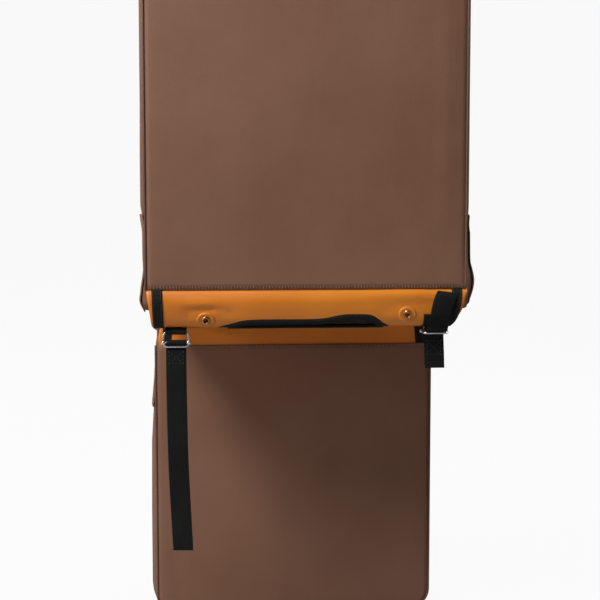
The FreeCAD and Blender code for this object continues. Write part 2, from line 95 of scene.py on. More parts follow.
class Shade:
    # a node's output; the operators add Math nodes
    def __init__(self, tree, socket=None):
        self.tree, self.socket = tree, socket

    def make(self, kind, settings=None, inputs=None, out=0):
        node = self.tree.nodes.new(kind)
        for key, value in (settings or {}).items():
            if key == "stops":
                for stop, (place, colour) in zip(node.color_ramp.elements, value):
                    stop.position, stop.color = place, colour
            else:
                setattr(node, key, value)
        for key, value in (inputs or {}).items():
            if isinstance(value, Shade):
                self.tree.links.new(value.socket, node.inputs[key])
            else:
                node.inputs[key].default_value = value
        return Shade(self.tree, node.outputs[out])

    def maths(self, operation, *values):
        return self.make("ShaderNodeMath", {"operation": operation}, dict(enumerate(values)))

    def __add__(self, other):
        return self.maths("ADD", self, other)

    def __sub__(self, other):
        return self.maths("SUBTRACT", self, other)

    def __rsub__(self, other):
        return self.maths("SUBTRACT", other, self)

    def __mul__(self, other):
        return self.maths("MULTIPLY", self, other)

    __radd__ = __add__
    __rmul__ = __mul__

    def wave(self, pitch):
        return self.maths("SINE", self * (math.tau / pitch))

    def mixed(self, first, second):
        inputs = {0: self, 6: first, 7: second}
        return self.make("ShaderNodeMix", {"data_type": "RGBA"}, inputs, 2)

    def noise(self, scale, detail=3.0, roughness=0.5):
        inputs = {"Vector": self, "Scale": scale, "Detail": detail, "Roughness": roughness}
        return self.make("ShaderNodeTexNoise", None, inputs)

    def between(self, low, high):
        inputs = {"Value": self, "From Min": low, "From Max": high}
        return self.make("ShaderNodeMapRange", {"interpolation_type": "SMOOTHSTEP"}, inputs)

    def bumped(self, distance, strength=1.0):
        inputs = {"Strength": strength, "Distance": distance, "Height": self}
        return self.make("ShaderNodeBump", None, inputs)

    def split(self):
        parts = self.make("ShaderNodeSeparateXYZ", None, {"Vector": self})
        return [Shade(self.tree, output) for output in parts.socket.node.outputs]


def colour(red, green, blue):
    shares = [value / 255 for value in (red, green, blue)]
    return tuple(s / 12.92 if s <= 0.04045 else ((s + 0.055) / 1.055) ** 2.4 for s in shares) + (1,)


def newMaterial(name, fixed, recipe=None):
    material = bpy.data.materials.new(name)
    material.use_nodes = True
    tree = material.node_tree
    shader = tree.nodes["Principled BSDF"]
    for socket, value in fixed.items():
        shader.inputs[socket].default_value = value
    if recipe:
        places = Shade(tree).make("ShaderNodeTexCoord", out="Object")
        surface = Shade(tree).make("ShaderNodeTexCoord", out="UV")
        for socket, value in recipe(places, surface).items():
            tree.links.new(value.socket, shader.inputs[socket])
    return material


def coatedCloth(name, look):
    def recipe(places, surface):
        across, along, _ = surface.split()
        patches = places.noise(9, 4, 0.55).between(0.3, 0.7)
        specks = places.noise(1300, 2).between(0.25, 0.75)
        threads = across.wave(look["threadPitch"]) * along.wave(look["threadPitch"])
        crumple = places.noise(look["crumpleScale"], 3, 0.5)
        base = patches.mixed(look["dark"], look["light"])
        height = threads * 0.5 + specks * look["grain"] + crumple * look["crumple"]
        return {
            "Base Color": (specks * look["speckle"]).mixed(base, look["dark"]),
            "Roughness": look["roughness"] + patches * 0.08 - specks * 0.06,
            "Normal": height.bumped(look["depth"]),
        }

    return newMaterial(name, {"Specular IOR Level": look["gloss"]}, recipe)


weave = {"threadPitch": 0.0011, "depth": 0.00005, "grain": 1.2}
brownCloth = coatedCloth("brownTarpaulin", {
    **weave,
    "light": colour(120, 86, 68),
    "dark": colour(113, 79, 62),
    "depth": 0.00006,
    "crumpleScale": 26,
    "crumple": 14,
    "speckle": 0.25,
    "roughness": 0.62,
    "gloss": 0.2,
})
pipingCloth = coatedCloth("brownPiping", {
    **weave,
    "light": colour(98, 66, 51),
    "dark": colour(84, 55, 43),
    "crumpleScale": 120,
    "crumple": 2,
    "speckle": 0.3,
    "roughness": 0.5,
    "gloss": 0.4,
})
orangeCloth = coatedCloth("orangeTarpaulin", {
    **weave,
    "light": colour(205, 119, 18),
    "dark": colour(191, 105, 12),
    "grain": 1.0,
    "crumpleScale": 34,
    "crumple": 9,
    "speckle": 0.2,
    "roughness": 0.42,
    "gloss": 0.5,
})
liningCloth = coatedCloth("blackLining", {
    "light": colour(30, 29, 30),
    "dark": colour(20, 20, 21),
    "threadPitch": 0.0016,
    "depth": 0.00012,
    "grain": 0.4,
    "crumpleScale": 30,
    "crumple": 9,
    "speckle": 0.2,
    "roughness": 0.62,
    "gloss": 0.3,
})


def wovenWebbing(name, look):
    def recipe(places, surface):
        across, along, _ = surface.split()
        column = across.maths("FLOOR", across * (1 / look["warp"]))
        picks = along * (math.tau / look["weft"]) + column * math.pi
        crown = across * (math.pi / look["warp"])
        ribs = crown.maths("ABSOLUTE", crown.maths("SINE", crown))
        height = picks.maths("SINE", picks) * 0.4 + ribs
        fuzz = places.noise(2200, 2).between(0.3, 0.7)
        wear = places.noise(30, 3).between(0.45, 0.75)
        # painted shade and highlight: the colour follows the ribs, darker in the troughs between
        # them and lighter on their crowns; the fuzz adds random tone
        base = (ribs * 0.6 + fuzz * 0.4).mixed(look["dark"], look["light"])
        return {
            "Base Color": (wear * 0.35).mixed(base, look["worn"]),
            "Roughness": look["roughness"] - ribs * 0.12,
            "Normal": height.bumped(look["depth"]),
        }

    return newMaterial(name, {"Specular IOR Level": 0.12}, recipe)


blackWebbing = wovenWebbing("blackWebbing", {
    "light": colour(25, 24, 24),
    "dark": colour(12, 12, 12),
    "worn": colour(33, 32, 31),
    "warp": 0.0016,
    "weft": 0.0021,
    "depth": 0.00016,
    "roughness": 0.82,
})
blackTape = wovenWebbing("blackTape", {
    "light": colour(27, 26, 22),
    "dark": colour(14, 14, 12),
    "worn": colour(34, 33, 29),
    "warp": 0.0009,
    "weft": 0.0012,
    "depth": 0.0001,
    "roughness": 0.8,
})


def plainFinish(name, look):
    def recipe(places, surface):
        broad = places.noise(look["broad"], 3).between(0.3, 0.7)
        fine = places.noise(look["fine"], 3, 0.6)
        return {
            "Base Color": broad.mixed(look["dark"], look["light"]),
            "Roughness": look["roughness"] + (fine - 0.5) * look["spread"],
            "Normal": fine.bumped(look["depth"]),
        }

    fixed = {"Metallic": look["metallic"], "Specular IOR Level": 0.5}
    return newMaterial(name, fixed, recipe)


wireSteel = plainFinish("nickelWire", {
    "light": colour(226, 226, 228),
    "dark": colour(196, 196, 200),
    "broad": 180,
    "fine": 1500,
    "roughness": 0.24,
    "spread": 0.16,
    "depth": 0.00001,
    "metallic": 1.0,
})
eyeletMetal = plainFinish("eyeletMetal", {
    "light": colour(196, 142, 86),
    "dark": colour(150, 100, 54),
    "broad": 260,
    "fine": 1700,
    "roughness": 0.3,
    "spread": 0.2,
    "depth": 0.00001,
    "metallic": 1.0,
})
boardPlastic = plainFinish("boardPlastic", {
    "light": colour(44, 44, 46),
    "dark": colour(34, 34, 36),
    "broad": 20,
    "fine": 900,
    "roughness": 0.5,
    "spread": 0.2,
    "depth": 0.00004,
    "metallic": 0.0,
})


def threadFinish(name, light, dark):
    return plainFinish(name, {
        "light": light,
        "dark": dark,
        "broad": 700,
        "fine": 2600,
        "roughness": 0.62,
        "spread": 0.2,
        "depth": 0.00008,
        "metallic": 0.0,
    })


brownThread = threadFinish("brownThread", colour(156, 127, 108), colour(116, 88, 72))
orangeThread = threadFinish("orangeThread", colour(206, 140, 66), colour(172, 106, 36))
blackThread = threadFinish("blackThread", colour(42, 41, 40), colour(26, 26, 26))
print("materials made")


# ---- mesh helpers


def meshObject(name, points, faces, material, uvs=None):
    mesh = bpy.data.meshes.new(name)
    mesh.from_pydata([tuple(map(float, point)) for point in points], [], faces)
    mesh.materials.append(material)
    if uvs is not None:
        layer = mesh.uv_layers.new(name="surface")
        for loop in mesh.loops:
            layer.data[loop.index].uv = uvs[loop.vertex_index]
    mesh.polygons.foreach_set("use_smooth", [True] * len(mesh.polygons))
    piece = bpy.data.objects.new(name, mesh)
    bpy.context.scene.collection.objects.link(piece)
    return piece


def gridFaces(rows, columns, closed=False):
    spans = columns if closed else columns - 1
    return [
        (r * columns + c, r * columns + (c + 1) % columns,
         (r + 1) * columns + (c + 1) % columns, (r + 1) * columns + c)
        for r in range(rows - 1)
        for c in range(spans)
    ]


def gridPart(rows, columns, place):
    # place(row, column) gives a point and its surface place
    points, uvs = zip(*(place(row, column) for row in rows for column in columns))
    return points, gridFaces(len(rows), len(columns)), uvs


def tubeFaces(rows, columns, looped=False):
    # rings of points joined into a tube, with its ends closed or, when looped, joined
    faces = gridFaces(rows, columns, closed=True)
    last = (rows - 1) * columns
    if looped:
        return faces + [(last + c, last + (c + 1) % columns, (c + 1) % columns, c)
                        for c in range(columns)]
    return faces + [tuple(range(columns))[::-1], tuple(range(last, last + columns))]


def joined(name, parts, material):
    points, faces, uvs = [], [], []
    for partPoints, partFaces, partUvs in parts:
        faces += [tuple(i + len(points) for i in face) for face in partFaces]
        points += list(partPoints)
        uvs += list(partUvs)
    return meshObject(name, points, faces, material, uvs)


def tidied(piece, outward=None):
    # welds the seams and turns the faces outwards; an open sheet gives a point and direction
    shape = bmesh.new()
    shape.from_mesh(piece.data)
    bmesh.ops.remove_doubles(shape, verts=shape.verts, dist=2e-6)
    bmesh.ops.recalc_face_normals(shape, faces=shape.faces)
    if outward is not None:
        place, direction = Vector(outward[0]), Vector(outward[1])
        nearest = min(shape.faces, key=lambda face: (face.calc_center_median() - place).length)
        if nearest.normal.dot(direction) < 0:
            bmesh.ops.reverse_faces(shape, faces=shape.faces)
    shape.to_mesh(piece.data)
    shape.free()
    return piece


def applied(piece):
    graph = bpy.context.evaluated_depsgraph_get()
    made = bpy.data.meshes.new_from_object(
        piece.evaluated_get(graph), preserve_all_data_layers=True, depsgraph=graph
    )
    piece.modifiers.clear()
    old, piece.data = piece.data, made
    bpy.data.meshes.remove(old)
    made.name = piece.name
    return piece


def thickened(piece, thickness, offset=0.0):
    solid = piece.modifiers.new("thickness", "SOLIDIFY")
    solid.thickness = thickness
    solid.offset = offset
    solid.use_even_offset = True
    return applied(piece)


def attached(piece, slot, body, *nodes):
    # body: the body it rides on, or two bodies and where the bend between them starts and ends
    if nodes:
        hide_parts(*nodes)
    if isinstance(body, str):
        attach(piece, body)
    else:
        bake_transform(piece)
    return piece


def addPiece(name, parts, material, slot, body, *nodes, outward=None, thickness=0.0, offset=0.0):
    piece = tidied(joined(name, parts, material), outward)
    if thickness:
        thickened(piece, thickness, offset)
    return attached(piece, slot, body, *nodes)


def inBag(side, parts):
    return [(placed(side, points), faces, uvs) for points, faces, uvs in parts]


def lengths(line):
    # how far along the line each point lies
    return np.concatenate([[0], np.cumsum(np.linalg.norm(np.diff(line, axis=0), axis=1))])


def smoothLine(controls, step):
    # a curve through the control points, with points a step apart
    knots = np.asarray(controls, float)
    padded = np.vstack([2 * knots[0] - knots[1], knots, 2 * knots[-1] - knots[-2]])
    fine = []
    for i in range(1, len(padded) - 2):
        a, b, c, d = padded[i - 1:i + 3]
        for t in np.linspace(0, 1, 24, endpoint=False):
            fine.append(0.5 * (2 * b + (c - a) * t + (2 * a - 5 * b + 4 * c - d) * t**2
                               + (3 * b - a - 3 * c + d) * t**3))
    fine = np.array(fine + [knots[-1]])
    run = lengths(fine)
    marks = np.linspace(0, run[-1], max(2, round(run[-1] / step) + 1))
    return np.stack([np.interp(marks, run, fine[:, k]) for k in range(knots.shape[1])], axis=1)


def readOff(table, place):
    return np.interp(place, *zip(*table))


def unit(vectors):
    vectors = np.asarray(vectors, float)
    return vectors / np.maximum(np.linalg.norm(vectors, axis=-1, keepdims=True), 1e-12)


def tangents(line):
    return unit(np.gradient(line, axis=0))


def arc(radius, start, end, count, endpoint=True):
    return [(radius * math.cos(a), radius * math.sin(a))
            for a in np.linspace(start, end, count, endpoint=endpoint)]


def roundedBar(width, thickness, steps=3, flats=6):
    # a flat bar's section with round edges, as (across, up) pairs
    radius = thickness / 2
    half = width / 2 - radius
    section = [(x, -radius) for x in np.linspace(-half, half, flats)[:-1]]
    section += [(half + x, y) for x, y in arc(radius, -math.pi / 2, math.pi / 2, 2 * steps + 1)]
    section += [(x, radius) for x in np.linspace(half, -half, flats)[1:-1]]
    left = arc(radius, math.pi / 2, 1.5 * math.pi, 2 * steps + 1)[:-1]
    return section + [(-half + x, y) for x, y in left]


def tube(rings, section, line, looped=False):
    # rings that carry a section along a line, with faces and surface places in metres
    uvs = [(aside, along) for along in lengths(line) for aside in section[:, 0]]
    return rings.reshape(-1, 3), tubeFaces(*rings.shape[:2], looped), uvs


def swept(line, across, up, section, looped=False):
    section = np.asarray(section, float)
    across, up = (np.broadcast_to(way, line.shape)[:, None] for way in (across, up))
    rings = line[:, None] + section[None, :, :1] * across + section[None, :, 1:] * up
    return tube(rings, section, line, looped)


def ribbon(line, across, width, thickness):
    across = unit(across)
    up = unit(np.cross(tangents(line), across))
    return swept(line, across, up, roundedBar(width, thickness))


def rod(line, radius, count=14, looped=False, hint=(0, 1, 0)):
    run = tangents(line)
    if looped:
        run = unit(np.roll(line, -1, axis=0) - np.roll(line, 1, axis=0))
    across = unit(np.cross(run, hint))
    ring = arc(radius, 0, math.tau, count, endpoint=False)
    return swept(line, across, unit(np.cross(run, across)), ring, looped)


def lathe(profile, centre, axis, count=28):
    # a closed profile of (radius, height) pairs turned round an axis
    axis = Vector(axis).normalized()
    side = axis.orthogonal().normalized()
    other = axis.cross(side)
    points = [
        Vector(centre) + axis * height + (side * math.cos(a) + other * math.sin(a)) * radius
        for a in np.linspace(0, math.tau, count, endpoint=False)
        for radius, height in profile
    ]
    return points, tubeFaces(count, len(profile), looped=True), [(0.0, 0.0)] * len(points)


def punched(piece, places, radius, reach=0.004):
    # round holes cut through a closed sheet
    for place, way in places:
        line = np.array([place - way * reach, place + way * reach])
        part = rod(line, radius, 24, hint=(1, 0, 0))
        cutter = tidied(joined("cutter", [part], piece.data.materials[0]))
        step = piece.modifiers.new("hole", "BOOLEAN")
        step.operation, step.solver, step.object = "DIFFERENCE", "EXACT", cutter
        applied(piece)
        bpy.data.objects.remove(cutter)


def smoothStep(value):
    value = np.clip(value, 0, 1)
    return value * value * (3 - 2 * value)


# ---- stitches, as a Geometry Nodes tree that sets one thread bead at each pitch along a line


stitchSizes = ("Pitch", "Length", "Width", "Height")


def stitchTree():
    tree = bpy.data.node_groups.new("stitchLine", "GeometryNodeTree")
    face = tree.interface
    face.new_socket("Geometry", in_out="INPUT", socket_type="NodeSocketGeometry")
    for label in stitchSizes:
        face.new_socket(label, in_out="INPUT", socket_type="NodeSocketFloat")
    face.new_socket("Thread", in_out="INPUT", socket_type="NodeSocketMaterial")
    face.new_socket("Geometry", in_out="OUTPUT", socket_type="NodeSocketGeometry")
    given = {s.name: Shade(tree, s) for s in tree.nodes.new("NodeGroupInput").outputs}
    make = Shade(tree).make
    line = make("GeometryNodeMeshToCurve", None, {"Mesh": given["Geometry"]})
    marks = make("GeometryNodeResampleCurve", {"mode": "LENGTH"},
                 {"Curve": line, "Length": given["Pitch"]})
    facing = make("GeometryNodeInputNamedAttribute", {"data_type": "FLOAT_VECTOR"},
                  {"Name": "facing"})
    tangent = make("GeometryNodeInputTangent")
    along = make("FunctionNodeAlignRotationToVector", {"axis": "X"}, {"Vector": tangent})
    turned = make("FunctionNodeAlignRotationToVector", {"axis": "Z", "pivot_axis": "X"},
                  {"Rotation": along, "Vector": facing})
    size = make("ShaderNodeCombineXYZ", None,
                {"X": given["Length"], "Y": given["Width"], "Z": given["Height"]})
    bead = make("GeometryNodeMeshUVSphere", None, {"Segments": 6, "Rings": 4, "Radius": 0.5})
    beads = make("GeometryNodeInstanceOnPoints", None,
                 {"Points": marks, "Instance": bead, "Rotation": turned, "Scale": size})
    real = make("GeometryNodeRealizeInstances", None, {"Geometry": beads})
    smooth = make("GeometryNodeSetShadeSmooth", None, {"Geometry": real})
    thread = make("GeometryNodeSetMaterial", None,
                  {"Geometry": smooth, "Material": given["Thread"]})
    tree.links.new(thread.socket, tree.nodes.new("NodeGroupOutput").inputs["Geometry"])
    return tree


stitchLine = stitchTree()


def stitched(name, lines, thread, look, slot, body):
    # lines: (points, facing directions) pairs
    points, edges, facing = [], [], []
    for linePoints, ways in lines:
        start = len(points)
        points += [tuple(map(float, point)) for point in linePoints]
        facing += [tuple(map(float, way)) for way in np.broadcast_to(ways, (len(linePoints), 3))]
        edges += [(i, i + 1) for i in range(start, len(points) - 1)]
    mesh = bpy.data.meshes.new(name)
    mesh.from_pydata(points, edges, [])
    layer = mesh.attributes.new("facing", "FLOAT_VECTOR", "POINT")
    layer.data.foreach_set("vector", np.array(facing, float).ravel())
    piece = bpy.data.objects.new(name, mesh)
    bpy.context.scene.collection.objects.link(piece)
    modifier = piece.modifiers.new("stitches", "NODES")
    modifier.node_group = stitchLine
    sockets = {s.name: s.identifier for s in stitchLine.interface.items_tree if s.in_out == "INPUT"}
    for label in stitchSizes:
        modifier[sockets[label]] = look[label]
    modifier[sockets["Thread"]] = thread
    attached(applied(piece), slot, body)


runningStitch = {"Pitch": 0.0042, "Length": 0.0032, "Width": 0.0007, "Height": 0.0006}
tickStitch = {"Pitch": 0.0030, "Length": 0.0006, "Width": 0.0032, "Height": 0.0005}
fineStitch = {"Pitch": 0.0030, "Length": 0.0023, "Width": 0.0006, "Height": 0.0005}


# ---- the bag's walls, as one lofted shell round its lining

backBox = ownBox("far", "back_panel")
frontBox = ownBox("far", "front_panel")
pipingBox = ownBox("far", "back_piping")
liningBox = ownBox("far", "back_lining")
bottomBox = ownBox("far", "bottom_board")
earBox = ownBox("far", "lid_right_ear")

bag = {
    "spacing": 0.006,
    "cornerSteps": 8,
    "columns": 52,
    "depthSteps": 22,
    "cornerRadius": 0.0205,
    # how far the side wall stands out, as (height, distance) pairs
    "bulge": {
        "near": [(-0.210, 0.0075), (-0.166, 0.0080), (-0.115, 0.0080), (-0.110, 0.0073),
                 (-0.105, 0.0060), (-0.099, 0.0053), (-0.093, 0.0042), (-0.088, 0.0037),
                 (-0.065, 0.0036), (-0.054, 0.0029), (-0.021, 0.0014)],
        "far": [(-0.230, 0.0090), (-0.150, 0.0082), (-0.115, 0.0060), (-0.080, 0.0026),
                (-0.050, -0.0010), (-0.021, -0.0014)],
    },
    # a lower power makes the bulge fuller towards its edges
    "fullness": 0.75,
    # how deep the flare reaches, and over what depth it fades
    "flareFade": (0.45, 0.35),
    "flareStart": 0.022,
    "bottomSag": 0.004,
    "backBulge": 0.0035,
    "backLift": 0.0007,
    "backWrinkle": 0.0006,
    "frontBulge": 0.008,
    "frontWrinkle": 0.0008,
    # one long crease down the back panel
    "creasePlace": -0.86,
    "creaseWidth": 0.035,
    "creaseDepth": 0.0007,
    "creaseTop": -0.06,
    # above the back panel's seam the side walls turn in to the hanger and rise to the hinge
    "tuckIn": 0.0014,
    "tuckForward": 0.0018,
    "tuckHeight": 0.006,
    "tuckDepth": 0.05,
    "riseUnder": 0.0012,
    "riseHeight": 0.012,
    "riseFade": (0.12, 0.10),
    "shellThickness": 0.0012,
    "liningThickness": 0.0007,
    "liningGap": 0.0021,
    "liningBelowRim": 0.0005,
    "liningOverBoard": 0.0006,
    "pipingRadius": 0.00115,
    "pipingInset": 0.0015,
    "frontInset": 0.0007,
    "hemOverlap": 0.0010,
}
seamHeight = backBox[1].z + bag["hemOverlap"]
rimHeight = frontBox[1].z
hinge = hang["far"].inverted() @ Vector(joints["far_lid_hinge"]["pos_m"])
hingeHeight = hinge.z
shellHalf = (pipingBox[1].x - pipingBox[0].x) / 2 - bag["pipingInset"]
shellLow = pipingBox[0].z + bag["pipingInset"]
backPlace = (pipingBox[0].y + pipingBox[1].y) / 2
frontPlace = frontBox[1].y - bag["frontInset"]


def tubRows(half, tops, low, radius):
    straight = low + radius
    stops = sorted({*tops, straight}, reverse=True)
    heights = []
    for high, under in zip(stops, stops[1:]):
        count = max(1, round((high - under) / bag["spacing"]))
        heights += list(np.linspace(high, under, count, endpoint=False))
    corner = arc(radius, 0, math.pi / 2, bag["cornerSteps"] + 1)[1:]
    return ([(half, height) for height in heights + [straight]]
            + [(half - radius + x, straight - z) for x, z in corner])


def rowsBelow(rows, top):
    return [row for row in rows if row[1] <= top + 1e-9]


# how much further the side walls and the lid's ears stand out towards the rack, as (height,
# distance) pairs for each bag and each of its sides
flare = {
    ("near", 1): [(-0.104, -0.0008), (-0.088, -0.0008), (-0.054, -0.0006), (-0.048, 0.0002),
                  (-0.043, 0.0011), (-0.037, 0.0022), (-0.031, 0.0028), (-0.026, 0.0040),
                  (-0.020, 0.0028), (-0.0155, -0.0005)],
    ("near", -1): [(-0.104, 0.0018), (-0.099, 0.0012), (-0.093, 0.0015), (-0.088, 0.0024),
                   (-0.065, 0.0028), (-0.060, 0.0032), (-0.054, 0.0050), (-0.048, 0.0066),
                   (-0.043, 0.0073), (-0.037, 0.0069), (-0.031, 0.0055), (-0.026, 0.0036),
                   (-0.0214, 0.0026), (-0.017, -0.0022), (-0.0149, -0.0055)],
    ("far", 1): [(-0.104, -0.0006), (-0.060, -0.0006), (-0.045, -0.0020), (-0.015, -0.0034)],
    ("far", -1): [(-0.104, -0.0006), (-0.060, -0.0006), (-0.045, -0.0024), (-0.015, -0.0036)],
}


def flareOut(side, sign, height, depth):
    reach = readOff(flare[side, sign], height)
    end, run = bag["flareFade"]
    return reach * smoothStep((end - np.asarray(depth)) / run)


def bulgeOut(side, height, depth):
    reach = readOff(bag["bulge"][side], height)
    return reach * np.sin(math.pi * np.clip(depth, 0, 1)) ** bag["fullness"]


def gussetOut(side, sign, height, depth):
    # how far the side wall stands out of the seam line; depth runs 0 at the back to 1 at the front
    pushed = flareOut(side, sign, height, depth) * smoothStep(np.asarray(depth) / bag["flareStart"])
    return bulgeOut(side, height, depth) + np.minimum(pushed, 0.96 * pushed)


def wallEdge(across, height):
    # 0 on a panel's seam, 1 in its field
    share = (height - shellLow) / (rimHeight - shellLow)
    side = np.clip(1 - np.abs(across), 0, 1)
    return np.minimum(smoothStep(side / 0.06), smoothStep(np.clip(share, 0, 1) / 0.04))


def softField(across, height, phase):
    return (0.35 * np.sin(across * 5.1 + height * 17 + phase)
            + 0.3 * np.sin(across * 9.7 - height * 29 + 2.1 * phase)
            + 0.2 * np.sin(across * 3.3 + height * 47 + 0.6 * phase))


def backOut(across, height, phase):
    share = np.clip((height - shellLow) / (seamHeight - shellLow), 0, 1)
    field = (1 - across**2) * smoothStep(share / 0.4) * smoothStep((1 - share) / 0.4)
    edge = wallEdge(across, height)
    aside = (across - bag["creasePlace"]) / bag["creaseWidth"]
    crease = np.exp(-aside ** 2) * smoothStep((bag["creaseTop"] - height) / 0.05)
    return (bag["backLift"] * edge + bag["backBulge"] * field
            + bag["backWrinkle"] * softField(across, height, phase) * edge * field
            - bag["creaseDepth"] * crease * edge * np.sign(phase - 1))


def frontOut(across, height, phase):
    share = np.clip((height - shellLow) / (rimHeight - shellLow), 0, 1)
    field = (1 - np.abs(across) ** 2.6) * np.sin(math.pi * share**0.8) ** 0.7
    return (bag["frontBulge"] * field
            + bag["frontWrinkle"] * softField(across, height, phase) * field)


def tubShell(spec):
    rows = tubRows(spec["half"], (spec["top"], spec["backTop"]), spec["low"], spec["radius"])
    across = np.linspace(-1, 1, bag["columns"] + 1)
    parts = []
    for top, place, outward, sign in (
        (spec["backTop"], spec["back"], spec["backOut"], -1),
        (spec["top"], spec["front"], spec["frontOut"], 1),
    ):

        def panelPoint(row, share):
            half, height = row
            seam = height <= spec["low"] + 1e-9 or abs(share) == 1
            out = 0 if seam else outward(share, height)
            return (half * share, place + sign * out, height), (half * share, height)

        parts.append(gridPart(rowsBelow(rows, top), across, panelPoint))

    kept = rowsBelow(rows, spec["top"])
    end, low = kept[-1]
    edge = [(-half, height, -1) for half, height in kept]
    edge += [(end * share, low, 0) for share in across[1:-1]]
    edge += [(half, height, 1) for half, height in kept[::-1]]
    turnAt = spec["low"] + spec["radius"]

    def wallPoint(row, depth):
        (x, height, sign), along = row
        # how far the wall has turned under, from none at the side to a quarter turn below
        lean = 0.0 if sign else math.pi / 2
        if height < turnAt and sign:
            beyond = abs(x) - spec["half"] + spec["radius"]
            lean = math.acos(np.clip(beyond / spec["radius"], -1, 1))
        out = 0.0
        if 0 < depth < 1:
            out = gussetOut(spec["side"], sign or 1, max(height, turnAt), depth)
            out *= math.cos(lean) ** 2
            full = math.sin(math.pi * depth) ** bag["fullness"]
            out += spec["sag"] * full * math.sin(lean) ** 2
        y = spec["back"] + (spec["front"] - spec["back"]) * depth
        tuck = smoothStep((height - seamHeight) / bag["tuckHeight"])
        tuck *= smoothStep((bag["tuckDepth"] - depth) / bag["tuckDepth"])
        start, fade = bag["riseFade"]
        rise = smoothStep((start - depth) / fade)
        rise *= np.clip((height - spec["backTop"]) / bag["riseHeight"], 0, 1)
        point = (x + sign * (out * math.cos(lean) - spec["tuck"] * tuck),
                 y + bag["tuckForward"] * tuck,
                 height - out * math.sin(lean) + spec["rise"] * rise)
        return point, (y, along)

    rows = list(zip(edge, lengths(np.array(edge)[:, :2])))
    return parts + [gridPart(rows, np.linspace(0, 1, bag["depthSteps"] + 1), wallPoint)]


def buildShell(side, phase):
    outer = {
        "side": side,
        "half": shellHalf,
        "top": rimHeight,
        "backTop": seamHeight,
        "low": shellLow,
        "radius": bag["cornerRadius"],
        "back": backPlace,
        "front": frontPlace,
        "sag": bag["bottomSag"],
        "tuck": bag["tuckIn"],
        "rise": hingeHeight - bag["riseUnder"] - rimHeight,
        "backOut": lambda across, height: backOut(across, height, phase),
        "frontOut": lambda across, height: frontOut(across, height, phase),
    }
    gap = bag["liningGap"]
    inner = {
        **outer,
        "half": shellHalf - gap,
        "top": rimHeight - bag["liningBelowRim"],
        "backTop": liningBox[1].z,
        "low": bottomBox[1].z + bag["liningOverBoard"],
        "radius": bag["cornerRadius"] - gap,
        "back": (liningBox[0].y + liningBox[1].y) / 2,
        "front": frontPlace - gap,
        "sag": 0.0,
        "tuck": 0.0,
        "rise": 0.0,
        "backOut": lambda across, height: 0,
    }
    outward = (placed(side, (0, frontPlace, -0.2)), (0, 1, 0))
    addPiece(f"{side}BagShell", inBag(side, tubShell(outer)), brownCloth, "tarpaulin_brown",
             f"{side}_bag", f"{side}_back_panel", f"{side}_front_panel", f"{side}_gusset",
             outward=outward, thickness=bag["shellThickness"], offset=-1)
    addPiece(f"{side}BagLining", inBag(side, tubShell(inner)), liningCloth, "lining_black",
             f"{side}_bag", f"{side}_back_lining",
             outward=outward, thickness=bag["liningThickness"])


def edgeLine(place, top):
    rows = tubRows(shellHalf, (rimHeight, seamHeight), shellLow, bag["cornerRadius"])
    kept = rowsBelow(rows, top)
    end, low = kept[-1]
    left = [(-half, place, height) for half, height in kept]
    right = [(half, place, height) for half, height in kept[::-1]]
    bottom = [(x, place, low) for x in np.linspace(-end, end, 40)[1:-1]]
    return np.array(left + bottom + right)


def buildPiping(side):
    for which, place, top in (("Back", backPlace, seamHeight), ("Front", frontPlace, rimHeight)):
        part = rod(placed(side, edgeLine(place, top)), bag["pipingRadius"], 12)
        addPiece(f"{side}{which}Piping", [part], pipingCloth, "tarpaulin_brown",
                 f"{side}_bag", f"{side}_{which.lower()}_piping")


mouth = {"width": 0.0036, "height": 0.010, "rise": 0.0004, "start": 0.15, "inset": 0.0032,
         "round": 0.006}


def buildMouth(side, phase):
    # the facing inside the rim, clear of the outer cloth
    reach = frontPlace - backPlace
    turn = mouth["round"]
    depths = np.linspace(mouth["start"], 1 - turn / reach, 20)
    # the tape is straight up and down, so it stays inside the narrowest place of its height
    heights = rimHeight - mouth["height"] * np.array([1, 0.6, 0.3, 0])
    corner = frontPlace + frontOut(0.97, rimHeight, phase) - turn
    quarter = arc(turn, 0, math.pi / 2, 9)[1:-1]
    halves = []
    for sign in (-1, 1):
        half = [(sign * (shellHalf + min(gussetOut(side, sign, h, d) for h in heights)),
                 backPlace + reach * d) for d in depths]
        half += [(sign * (shellHalf - turn + x), corner + y) for x, y in quarter]
        halves.append(half)
    front = [(x, frontPlace + frontOut(x / shellHalf, rimHeight, phase))
             for x in np.linspace(-1, 1, 44) * (shellHalf - turn)]
    line = np.array([(x, y, rimHeight + mouth["rise"] - mouth["height"] / 2)
                     for x, y in halves[0] + front + halves[1][::-1]])
    inward = unit(np.cross(tangents(line), (0, 0, 1)))
    section = [(b, a) for a, b in roundedBar(mouth["height"], mouth["width"])]
    points, faces, uvs = swept(line + inward * mouth["inset"], inward, (0, 0, 1), section)
    part = (points, faces, [(along, across) for across, along in uvs])
    addPiece(f"{side}MouthBinding", inBag(side, [part]), blackTape, "lining_black",
             f"{side}_bag", f"{side}_mouth_facing")


# ---- the lid, one cloth over the mouth and down the front, with an ear on each side

